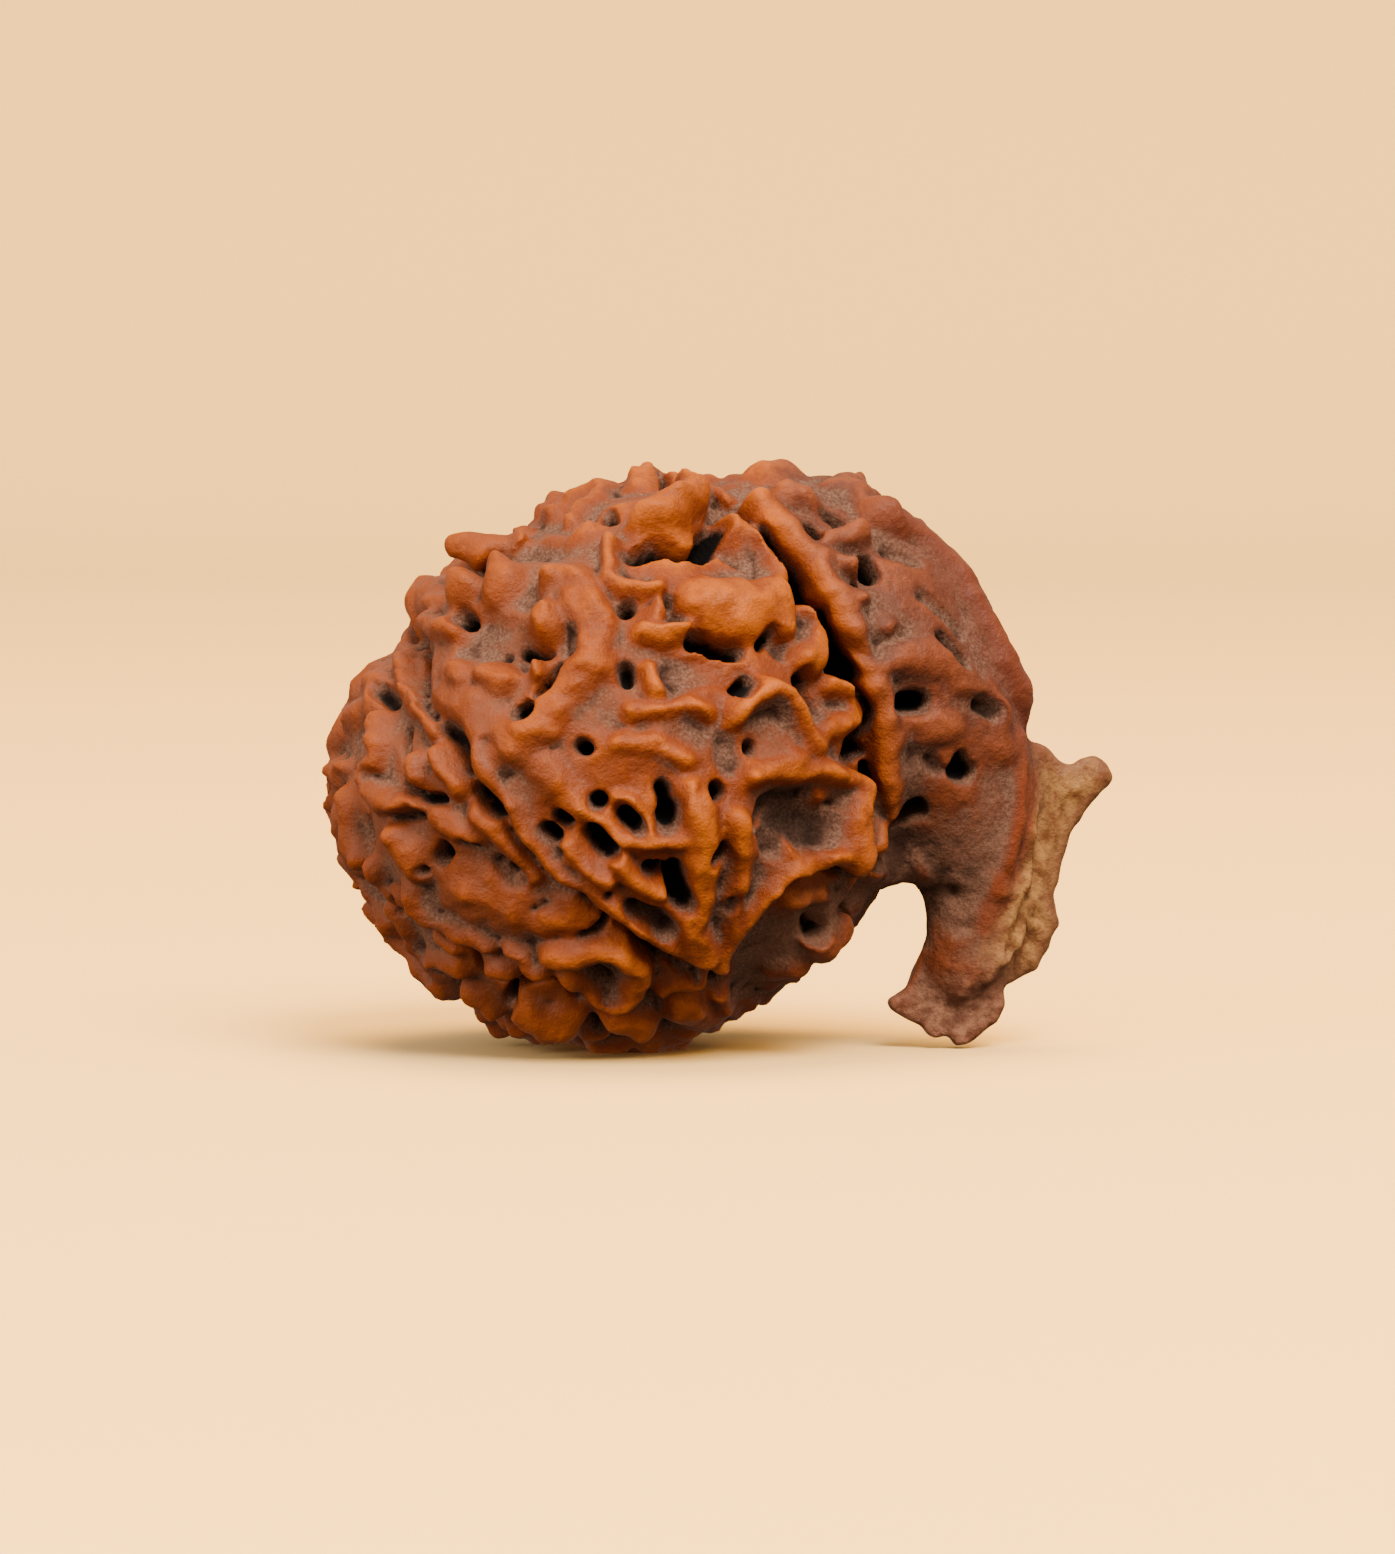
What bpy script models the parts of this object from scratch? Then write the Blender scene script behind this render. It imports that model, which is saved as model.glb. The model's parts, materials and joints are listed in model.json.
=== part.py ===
"""A rudraksha seed with a trunk, the woody stone of an Elaeocarpus fruit, lying on a surface.

The real thing grew as one piece, so it is one solid. A round body and a thick root that narrows into a
hooked trunk are fused, a thin frill and a spread foot are fused to the trunk, and then the whole surface is
carved by strokes: ridges and knobs are raised from it and pits and furrows are sunk into it. The strokes on
the front are placed by hand. Those on the far side follow the same pattern and are drawn by a seeded rule.

Lengths are in millimetres until the last step, which turns the solid into metres.
X runs from the body to the trunk, Z is up, and the front faces -Y. The origin is on the resting surface.
"""

import math
import random

import bmesh
import bpy
import numpy as np
from mathutils import Matrix, Vector, noise
from mathutils.bvhtree import BVHTree

MM = 0.001

# Driving dimensions.
BODY_CENTRE = Vector((-1.0, 0.0, 10.5))
BODY_DEPTH = 10.4
TRUNK_DEPTH_SCALE = 0.85
FRILL_THICKNESS = 0.9
FRILL_BEND_BACK = 0.3
FRILL_START = (14.0, 0.6)
FOOT_THICKNESS = 1.2
FINGER_DEPTH = -2.6
LOBE_DEPTH = -4.3
PLATE_LIFT = 0.45
PLATE_EDGE = 0.4
LOOK_DOWN = math.radians(4.0)
FLOOR_BITE = 0.0

# Fineness of the solid.
BASE_VOXEL = 0.24
CARVED_VOXEL = 0.2
TRIANGLES = 10400
PLAIN_ROUNDS = 24
JOIN_ROUNDS = 4
SKIN_ROUNDS = 2

# The body's outline from the front, without its ridges: (across, up).
BODY_OUTLINE = [
    (-11.3, 9.6), (-10.9, 7.4), (-9.9, 5.8), (-8.85, 4.35), (-7.75, 3.25), (-6.4, 2.1), (-5.0, 1.3),
    (-3.4, 0.6), (0.0, 0.4),
    (2.4, 1.2), (3.9, 2.0), (4.9, 2.9), (5.7, 3.6), (6.8, 3.9), (7.4, 4.5), (8.1, 5.35),
    (8.9, 6.05), (9.8, 6.4), (9.6, 7.4), (9.2, 9.0), (9.0, 11.0),
    (8.6, 13.5), (7.6, 16.0), (6.0, 18.0), (4.0, 19.5), (2.0, 20.7), (0.5, 21.0), (-1.0, 20.8),
    (-2.4, 20.3), (-3.5, 19.6), (-4.8, 18.7), (-6.2, 18.0), (-7.2, 17.2), (-7.8, 16.4), (-8.2, 15.2),
    (-9.2, 14.0), (-10.3, 13.0), (-10.7, 12.1), (-11.0, 11.0),
]

# The trunk from its root inside the body to its tip: (across, up, half width).
TRUNK_LINE = [
    (1.2, 16.0, 4.9),
    (3.2, 16.0, 5.35),
    (6.0, 15.4, 6.0),
    (8.2, 13.5, 5.9),
    (10.1, 11.0, 5.0),
    (11.7, 8.6, 3.5),
    (12.2, 7.2, 2.7),
    (12.45, 5.9, 2.0),
    (12.4, 4.4, 1.85),
    (12.0, 2.8, 1.8),
    (11.8, 1.9, 1.2),
    (11.8, 1.3, 0.7),
]

# The frill along the trunk's outer edge, and its foot, as flat outlines: (across, up).
FRILL_OUTLINE = [
    (14.3, 11.6), (15.2, 11.2), (15.7, 10.6), (16.1, 10.5), (16.4, 10.8), (16.9, 10.95), (17.4, 10.7),
    (17.8, 10.0), (17.6, 9.7), (17.0, 9.2), (16.6, 8.7), (16.5, 8.4), (16.2, 8.2), (15.9, 7.4),
    (15.7, 6.7), (15.6, 6.0), (15.45, 5.6), (15.6, 5.0), (15.75, 4.5), (15.4, 4.1), (15.35, 3.6),
    (15.0, 3.3), (14.9, 2.8), (14.4, 2.6), (13.9, 2.3), (12.8, 2.6), (13.2, 5.0), (13.6, 8.0),
]
FOOT_OUTLINE = [
    (9.15, 1.8), (9.25, 1.5), (9.7, 1.1), (10.2, 0.85), (10.45, 0.7), (10.6, 0.4), (11.0, 0.25),
    (11.35, 0.35), (11.5, 0.5), (11.65, 0.0), (12.2, 0.0), (12.9, 0.5), (13.4, 1.0), (13.7, 1.6),
    (13.6, 2.2), (13.6, 3.2), (13.6, 4.4), (12.5, 5.2), (11.0, 4.6), (10.4, 3.8), (10.1, 3.0),
    (9.9, 2.3), (9.6, 2.05),
]

# A knob on the left shoulder that stands clear of the outline: (across, up, half width).
FINGER_LINE = [
    (-3.9, 18.6, 0.5), (-5.2, 18.85, 0.5), (-6.2, 18.9, 0.5), (-6.8, 18.8, 0.44), (-7.1, 18.75, 0.3),
]

# A lobe low on the right, with a hole in it, that stands clear in the same way.
LOBE_LINE = [(3.6, 4.1, 0.8), (4.9, 4.6, 1.15), (6.1, 4.9, 1.35), (6.9, 4.65, 1.15), (7.2, 4.05, 0.5)]

# The broad raised segment that faces the front, as its outline.
PLATE_OUTLINE = [
    (-8.6, 17.6), (-8.6, 16.0), (-8.0, 14.9), (-8.0, 13.9), (-7.9, 13.0), (-7.2, 12.3), (-6.5, 11.8),
    (-6.2, 11.2), (-6.1, 10.4), (-5.9, 9.9), (-5.0, 9.2), (-4.8, 8.2), (-4.1, 7.3), (-3.6, 6.6), (-3.1, 6.1),
    (-2.0, 5.7), (-1.1, 5.0), (-0.1, 4.3), (0.9, 3.6), (1.6, 3.2), (2.4, 2.9), (3.2, 2.8), (3.5, 4.0),
    (3.9, 4.5), (4.3, 4.9), (4.8, 5.5), (5.4, 6.1), (6.0, 6.4), (6.5, 6.6), (6.8, 6.85), (7.2, 6.85),
    (7.7, 6.5), (8.1, 6.4), (8.4, 6.8), (8.6, 7.6), (8.5, 8.2), (8.55, 8.8), (8.55, 9.6), (8.4, 10.1),
    (8.0, 10.5), (7.7, 10.8), (7.75, 11.2), (7.9, 11.6), (8.2, 12.0), (8.3, 12.4), (8.1, 13.0), (7.5, 13.6),
    (6.9, 14.0), (6.7, 14.3), (6.9, 15.0), (6.8, 15.7), (6.3, 16.2), (5.5, 16.5), (5.5, 17.2), (5.2, 18.0),
    (4.8, 18.8), (4.2, 19.4), (3.5, 19.7), (2.7, 19.6), (2.6, 20.8), (1.0, 21.3), (-1.5, 20.6), (-3.0, 18.6),
    (-4.5, 18.3), (-5.6, 17.9), (-6.7, 17.7),
]

# Strokes are (half width, height, path), and each path is points (across, up) seen from the front.
SHOULDER_RIDGES = [
    (0.80, 0.4, [(-4.4, 18.7), (-5.4, 18.85), (-6.2, 18.9), (-6.9, 18.8)]),
    (0.50, 0.5, [(-4.5, 18.5)]),
    (0.45, 0.5, [(-6.2, 18.1), (-5.8, 18.2)]),
    (0.55, 0.5, [(-8.4, 16.9), (-8.2, 17.4), (-7.6, 17.8), (-7.0, 17.9)]),
    (0.40, 0.35, [(-8.4, 16.3), (-8.6, 15.8), (-8.6, 15.3)]),
    (0.60, 0.3, [(-7.9, 16.9), (-7.6, 16.6)]),
    (0.40, 0.4, [(-7.9, 15.8), (-7.3, 15.5), (-6.7, 15.4)]),
    (0.58, 0.75, [(-6.5, 17.0), (-6.1, 16.9)]),
    (0.85, 0.85, [(-4.85, 17.3), (-4.8, 17.0)]),
    (0.80, 0.6, [(-3.0, 17.1)]),
    (0.70, 0.7, [(-3.3, 15.9), (-3.3, 15.6)]),
    (0.88, 0.5, [(-2.6, 17.2), (-2.1, 16.8), (-1.8, 16.0), (-1.7, 15.2), (-1.9, 14.2), (-2.6, 13.3),
                  (-3.3, 12.4), (-4.1, 11.6), (-4.6, 11.2)]),
    (0.60, 0.55, [(-6.6, 13.8), (-6.2, 13.7)]),
    (0.60, 0.6, [(-5.3, 13.9), (-5.0, 13.6)]),
    (0.30, 0.4, [(-3.6, 14.1), (-3.5, 13.7)]),
    (1.30, 0.35, [(-6.6, 13.0), (-5.8, 12.2), (-5.2, 11.4)]),
    (0.45, 0.4, [(-2.8, 19.9), (-1.8, 20.7), (-0.9, 21.2)]),
    (0.45, 0.5, [(-3.6, 20.0), (-3.3, 20.1)]),
    (0.40, 0.45, [(-2.3, 20.9), (-1.8, 21.1)]),
    (0.60, 0.25, [(-3.8, 19.3), (-3.0, 18.9), (-2.2, 19.3)]),
]
PLATE_RIDGES = [
    (0.45, 0.3, [(-6.3, 11.4), (-5.8, 10.5), (-5.4, 9.8), (-4.6, 8.8), (-4.1, 7.8), (-3.4, 6.9), (-2.4, 6.1),
                 (-1.2, 5.3), (0.2, 4.4), (1.8, 3.5)]),
    (0.60, 0.3, [(-4.2, 11.0), (-3.2, 10.2), (-2.6, 9.6), (-2.2, 9.0)]),
    (0.30, 0.35, [(-2.1, 8.9), (-1.3, 8.5), (-0.8, 7.9), (-0.7, 7.6)]),
    (0.25, 0.3, [(-0.8, 9.3), (-0.1, 9.2), (0.3, 8.7), (0.5, 8.1)]),
    (0.38, 0.4, [(-0.8, 7.8), (0.3, 7.75), (1.4, 7.8), (2.0, 7.9)]),
    (0.33, 0.35, [(1.8, 9.8), (1.85, 9.0), (2.0, 8.4)]),
    (0.60, 0.6, [(2.3, 9.0), (2.3, 7.8), (2.3, 6.6), (2.05, 5.4), (1.95, 4.6), (2.3, 3.8)]),
    (0.38, 0.4, [(-0.7, 7.0), (-0.3, 6.5), (0.3, 6.15), (0.9, 6.0)]),
    (0.35, 0.4, [(-2.5, 7.6), (-2.1, 7.0), (-1.5, 6.5), (-1.1, 6.3)]),
    (0.48, 0.4, [(3.5, 8.4), (3.8, 7.4), (3.6, 6.2), (3.3, 5.0), (3.1, 4.0)]),
    (0.42, 0.45, [(5.0, 6.0), (5.7, 6.55), (6.5, 6.95), (7.4, 6.9)]),
    (0.55, 0.55, [(3.0, 3.5), (3.6, 4.4), (4.2, 5.1), (4.9, 5.8)]),
    (0.65, 0.6, [(8.0, 9.7), (7.9, 8.6), (7.95, 7.6), (8.1, 6.9)]),
    (0.52, 0.5, [(4.2, 10.1), (5.2, 10.4), (6.3, 10.4), (7.3, 10.2), (8.0, 10.0)]),
    (0.90, 0.3, [(5.3, 11.3), (6.2, 10.9), (7.1, 11.3)]),
    (0.52, 0.55, [(6.9, 13.5), (7.5, 12.9), (7.9, 12.4), (7.3, 12.0), (6.6, 11.8)]),
    (0.52, 0.6, [(3.5, 12.4), (4.0, 12.9), (4.6, 13.2), (5.1, 12.9), (5.5, 12.3), (5.9, 11.7), (6.3, 11.2)]),
    (0.34, 0.5, [(0.45, 14.0), (0.6, 13.2)]),
    (0.42, 0.35, [(-0.2, 12.5), (0.9, 12.5), (1.8, 12.7), (2.4, 12.5)]),
    (0.40, 0.25, [(-0.6, 11.3), (0.6, 11.2), (1.6, 10.8)]),
    (1.15, 0.75, [(2.5, 16.5), (3.2, 16.3), (4.0, 16.1), (4.7, 16.3)]),
    (0.70, 0.6, [(3.2, 19.1), (4.0, 18.8), (4.6, 18.1), (4.9, 17.3), (4.7, 16.7)]),
    (0.42, 0.5, [(0.2, 15.5), (0.9, 15.35), (1.6, 15.5)]),
    (0.62, 0.6, [(5.9, 16.0), (6.4, 15.4), (6.3, 14.7), (5.9, 14.2)]),
    (0.36, 0.5, [(-1.1, 18.8), (-1.1, 18.0), (-1.0, 17.4), (-0.5, 16.95), (0.2, 16.8), (0.8, 16.9)]),
    (0.35, 0.3, [(0.8, 17.1), (0.8, 16.4), (0.6, 15.9)]),
    (0.66, 0.9, [(0.3, 19.45), (1.1, 19.7), (1.8, 20.1)]),
    (0.50, 0.6, [(1.8, 20.1), (2.0, 20.7), (1.8, 21.1)]),
    (0.36, 0.45, [(0.3, 21.5), (0.9, 21.8), (1.4, 21.6), (1.8, 21.2)]),
    (0.34, 0.35, [(2.3, 20.9), (2.9, 20.8), (3.2, 20.5)]),
]
ROOT_RIDGES = [
    (0.68, 0.75, [(4.4, 20.0), (5.1, 19.4), (5.8, 18.8), (6.5, 18.0), (7.0, 17.2), (7.5, 16.3),
                  (7.9, 15.5)]),
    (0.60, 0.6, [(7.9, 15.5), (8.2, 14.7), (8.6, 13.9), (8.9, 13.1), (9.1, 12.0), (9.2, 10.8), (9.2, 9.6),
                 (9.1, 8.6), (9.0, 7.8)]),
    (0.45, 0.6, [(6.9, 19.0), (7.6, 19.15), (8.2, 19.35)]),
    (0.38, 0.55, [(6.9, 18.3), (7.5, 18.1), (7.9, 17.95)]),
    (0.40, 0.55, [(7.6, 17.0), (8.2, 16.8)]),
    (0.60, 0.45, [(5.3, 20.7), (6.1, 20.6)]),
    (0.70, 0.45, [(6.9, 21.4), (7.9, 21.2), (8.4, 20.7)]),
    (0.70, 0.3, [(2.4, 21.6), (3.6, 21.5), (5.0, 21.5), (6.0, 21.5)]),
    (0.75, 0.65, [(9.0, 20.1), (10.4, 19.5), (11.6, 18.5), (12.6, 17.3), (13.3, 16.0), (13.9, 14.5),
                  (14.5, 13.0)]),
    (0.45, 0.3, [(8.4, 15.6), (9.1, 15.7)]),
    (0.70, 0.4, [(9.3, 14.4), (10.4, 14.6), (11.4, 14.4), (12.3, 13.8)]),
    (0.60, 0.3, [(9.4, 11.8), (10.6, 11.7), (11.6, 11.9)]),
    (0.50, 0.3, [(12.2, 13.6), (13.2, 13.4), (13.7, 12.3), (13.9, 11.0)]),
    (0.50, 0.35, [(14.4, 11.5), (14.5, 10.0), (14.3, 8.6), (14.0, 7.2), (13.5, 6.0), (12.9, 5.0)]),
    (0.32, 0.25, [(6.4, 3.75), (6.9, 3.6), (7.4, 3.75)]),
    (0.45, 0.3, [(5.9, 5.4), (6.7, 5.6), (7.4, 5.4)]),
    (0.40, 0.25, [(7.6, 5.4), (8.0, 5.9)]),
    (0.22, 0.12, [(11.4, 6.2), (12.0, 5.8), (12.6, 5.9)]),
    (0.22, 0.12, [(11.2, 5.0), (11.8, 4.9), (12.3, 5.1)]),
    (0.25, 0.12, [(11.2, 4.1), (11.8, 3.9), (12.4, 4.2)]),
    (0.25, 0.12, [(11.2, 3.1), (11.9, 2.9), (12.5, 3.2)]),
    (0.28, 0.25, [(13.1, 4.6), (12.9, 3.6), (12.5, 2.6), (12.0, 1.7)]),
    (0.24, 0.5, [(15.0, 10.9), (15.0, 9.4), (14.8, 8.0), (14.6, 6.6), (14.2, 5.2), (13.7, 3.8),
                 (13.2, 2.4)]),
    (0.24, 0.5, [(15.9, 10.2), (15.6, 9.0), (15.4, 7.8), (15.1, 6.6), (14.8, 5.4), (14.3, 4.2),
                 (13.8, 3.0)]),
    (0.30, 0.5, [(15.9, 9.5), (16.7, 9.9), (17.4, 10.2)]),
    (0.22, 0.4, [(15.0, 5.4), (15.5, 4.9)]),
    (0.22, 0.4, [(14.6, 4.7), (15.2, 4.0)]),
    (0.22, 0.4, [(14.1, 3.9), (14.7, 3.2)]),
]
LEFT_RIDGES = [
    (0.42, 0.5, [(-8.8, 15.2), (-8.9, 14.4), (-8.8, 13.6), (-8.5, 13.1), (-7.9, 12.5), (-7.5, 11.9)]),
    (0.42, 0.45, [(-7.3, 11.0), (-7.1, 10.3), (-6.7, 9.7)]),
    (0.50, 0.5, [(-9.5, 14.3), (-10.3, 13.7), (-10.7, 13.2)]),
    (0.50, 0.45, [(-10.9, 12.8), (-11.0, 12.2)]),
    (0.50, 0.55, [(-9.7, 12.3), (-9.7, 11.4), (-9.8, 10.7), (-10.3, 10.3)]),
    (0.45, 0.5, [(-10.2, 9.9), (-9.6, 9.3), (-8.9, 9.1), (-8.3, 9.2)]),
    (0.42, 0.5, [(-8.3, 10.8), (-8.2, 10.1)]),
    (0.55, 0.4, [(-7.5, 8.6), (-6.9, 8.3), (-6.3, 7.8)]),
    (0.42, 0.35, [(-6.0, 8.7), (-5.4, 8.2), (-5.0, 7.5), (-4.6, 6.9), (-4.1, 6.3)]),
    (0.70, 0.6, [(-9.0, 7.9), (-8.6, 7.3), (-8.3, 6.7)]),
    (1.50, 0.35, [(-6.4, 5.6), (-5.4, 5.2)]),
    (0.45, 0.3, [(-6.8, 5.9), (-6.4, 5.6)]),
    (0.90, 0.3, [(-3.6, 4.7), (-2.7, 4.6)]),
    (0.50, 0.45, [(-8.4, 5.8), (-8.2, 5.2), (-7.6, 4.7), (-6.9, 4.4), (-6.2, 4.1), (-5.7, 3.8)]),
    (0.45, 0.5, [(-5.3, 2.9), (-4.9, 2.8)]),
    (0.40, 0.5, [(-4.9, 3.7), (-4.4, 3.4), (-4.0, 2.9), (-3.5, 2.8)]),
    (0.60, 0.65, [(-3.2, 3.5), (-2.4, 3.4), (-1.5, 3.6), (-0.7, 3.5), (-0.1, 3.0), (0.0, 2.5), (-0.3, 2.0),
                  (-0.9, 1.7)]),
    (0.42, 0.45, [(-2.7, 2.6), (-2.0, 2.2), (-1.4, 1.7)]),
    (0.50, 0.55, [(1.0, 2.1), (1.5, 2.3), (2.2, 2.4)]),
    (1.00, 0.8, [(-4.0, 1.4), (-3.4, 1.1), (-2.8, 1.0)]),
    (0.85, 0.8, [(-0.6, 1.0), (0.1, 0.9)]),
    (0.85, 0.7, [(1.7, 1.5), (2.2, 1.1)]),
    (0.65, 0.6, [(-6.1, 2.0), (-5.6, 1.6)]),
    (0.45, 0.6, [(3.0, 1.9), (3.6, 1.4)]),
    (0.70, 0.5, [(5.3, 2.9), (4.6, 1.9)]),
    (0.42, 0.5, [(-11.2, 10.5), (-11.4, 10.0)]),
    (0.55, 0.55, [(-11.2, 9.3), (-11.1, 8.4), (-10.9, 7.6), (-10.6, 6.9)]),
    (0.55, 0.45, [(-10.0, 6.8), (-9.8, 6.2), (-9.4, 5.7), (-9.0, 5.5)]),
    (0.50, 0.45, [(-9.4, 4.9), (-8.9, 4.2), (-8.5, 3.6), (-8.0, 3.2), (-7.3, 3.1), (-6.7, 2.9)]),
    (0.40, 0.3, [(-7.5, 3.9), (-7.0, 3.6)]),
]
SHOULDER_PITS = [
    (0.36, 2.0, [(-6.55, 16.05), (-6.35, 15.8)]),
    (0.30, 1.0, [(-5.15, 14.7)]),
    (0.26, 1.5, [(-4.4, 15.1), (-3.9, 14.95), (-3.4, 14.7)]),
    (0.42, 2.0, [(-4.3, 12.4), (-4.0, 12.6)]),
    (0.25, 1.3, [(-3.6, 13.1), (-3.2, 13.6), (-2.9, 14.1)]),
    (0.22, 0.8, [(-7.7, 16.05)]),
    (0.35, 0.5, [(-2.5, 15.4), (-2.5, 14.7)]),
    (1.20, 0.6, [(-5.7, 15.3), (-4.7, 14.8)]),
]
PLATE_PITS = [
    (0.46, 2.3, [(-0.2, 18.45), (0.5, 18.6), (1.4, 18.5)]),
    (0.48, 2.1, [(1.4, 18.4), (2.1, 18.4), (2.6, 18.7), (2.8, 19.2)]),
    (0.27, 1.4, [(-1.2, 20.15), (-1.05, 19.85)]),
    (0.22, 1.3, [(0.85, 21.4), (1.25, 20.9)]),
    (0.20, 0.8, [(2.7, 20.45)]),
    (0.16, 0.8, [(2.8, 19.9), (3.3, 19.85)]),
    (0.35, 1.8, [(-0.45, 16.35)]),
    (0.38, 2.0, [(2.0, 15.15), (2.4, 15.1), (2.9, 14.85), (3.6, 14.75)]),
    (0.27, 1.5, [(4.4, 14.95), (4.65, 15.15)]),
    (0.50, 0.4, [(5.1, 14.7)]),
    (0.33, 1.6, [(4.0, 13.5), (3.6, 13.1)]),
    (0.40, 1.7, [(5.85, 13.6), (6.1, 13.4)]),
    (0.42, 0.8, [(6.2, 13.0), (6.4, 12.6)]),
    (0.30, 1.5, [(4.05, 11.2)]),
    (0.60, 0.3, [(3.2, 11.2), (3.3, 10.6)]),
    (0.44, 1.1, [(-0.5, 14.1), (-0.45, 13.8)]),
    (0.37, 1.9, [(-2.1, 11.25), (-1.95, 11.25)]),
    (0.38, 1.9, [(-1.45, 9.25)]),
    (0.42, 1.9, [(-0.35, 8.6), (-0.1, 8.4)]),
    (0.42, 1.9, [(1.0, 8.9), (1.1, 8.5)]),
    (0.28, 1.2, [(0.9, 9.7), (0.9, 9.2)]),
    (0.36, 1.7, [(2.85, 9.5)]),
    (0.31, 1.6, [(2.95, 7.6), (2.85, 7.3)]),
    (0.37, 1.8, [(-2.85, 8.6), (-2.7, 8.5)]),
    (0.38, 1.8, [(-3.4, 8.1), (-3.1, 7.8)]),
    (0.33, 1.8, [(-1.7, 8.2), (-1.4, 7.7), (-1.0, 7.3)]),
    (0.29, 1.7, [(0.4, 6.7), (0.7, 6.7)]),
    (0.42, 1.9, [(1.35, 6.7), (1.45, 6.1), (1.5, 5.7)]),
    (0.19, 1.0, [(-1.08, 5.75)]),
    (0.45, 0.8, [(-0.1, 5.3), (0.6, 5.0), (1.0, 4.5)]),
    (1.15, 0.85, [(5.6, 8.6), (6.3, 8.4), (6.6, 8.2)]),
    (0.42, 0.7, [(4.8, 7.9), (4.9, 7.3), (5.4, 7.4)]),
    (0.32, 0.8, [(4.45, 8.4), (4.7, 9.1), (5.3, 9.6), (6.3, 9.5)]),
    (0.24, 0.6, [(7.0, 9.1), (7.3, 9.1)]),
    (0.25, 0.5, [(3.2, 5.4), (3.4, 5.7)]),
    (0.42, 0.5, [(3.2, 18.6), (3.5, 18.2)]),
    (0.32, 0.6, [(1.2, 16.6), (1.45, 15.9)]),
    (0.70, 0.35, [(1.4, 13.9), (2.6, 14.0), (3.4, 13.9)]),
    (0.35, 0.5, [(-2.9, 7.3)]),
    (0.35, 0.4, [(-5.3, 11.2), (-4.8, 10.3)]),
]
ROOT_PITS = [
    (0.22, 1.3, [(4.6, 19.1), (5.0, 18.6), (5.4, 17.9), (5.7, 17.2), (6.0, 16.7), (6.7, 16.2), (7.1, 15.5),
                 (7.2, 14.8)]),
    (0.36, 1.8, [(5.5, 17.4), (5.8, 16.8)]),
    (0.38, 1.8, [(7.15, 14.7), (7.4, 14.2), (7.8, 13.8)]),
    (0.18, 1.2, [(7.8, 13.7), (8.3, 13.1), (8.5, 12.5), (8.4, 11.9), (8.2, 11.4)]),
    (0.32, 1.6, [(8.05, 11.3), (8.2, 10.9)]),
    (0.18, 1.2, [(8.5, 10.4), (8.7, 9.6), (8.7, 8.6), (8.75, 7.8)]),
    (0.38, 1.3, [(7.1, 20.2), (7.6, 19.85)]),
    (0.35, 1.5, [(6.3, 19.5), (6.45, 19.2)]),
    (0.40, 1.9, [(8.5, 18.4), (8.6, 17.8)]),
    (0.23, 1.2, [(8.1, 17.4)]),
    (0.55, 2.0, [(9.8, 12.75), (10.4, 12.75)]),
    (0.42, 1.8, [(12.1, 10.6), (11.9, 10.2), (12.4, 10.15)]),
    (0.28, 0.9, [(11.3, 15.3), (11.8, 14.9), (12.3, 14.4)]),
    (0.40, 0.8, [(12.9, 12.8), (13.3, 12.5)]),
    (0.45, 1.0, [(9.6, 8.3), (10.4, 8.6)]),
    (0.30, 0.5, [(10.9, 10.6), (11.1, 10.2)]),
    (0.35, 0.5, [(10.8, 17.0), (11.6, 16.3), (12.3, 15.6)]),
    (0.35, 0.4, [(9.4, 18.8), (10.5, 18.4)]),
    (0.28, 1.2, [(5.0, 5.6), (5.6, 6.0), (6.4, 6.25), (7.0, 6.5), (7.7, 6.2)]),
    (0.34, 1.1, [(8.7, 6.7), (9.4, 6.8)]),
    (0.56, 1.7, [(6.55, 4.45), (6.85, 4.55)]),
    (0.25, 0.7, [(6.95, 4.7), (7.1, 5.0)]),
    (0.20, 0.6, [(7.9, 4.6), (7.7, 5.1)]),
    (0.25, 0.4, [(12.1, 4.5)]),
    (0.30, 0.5, [(11.3, 5.6)]),
    (0.20, 0.4, [(13.0, 2.0)]),
]
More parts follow.
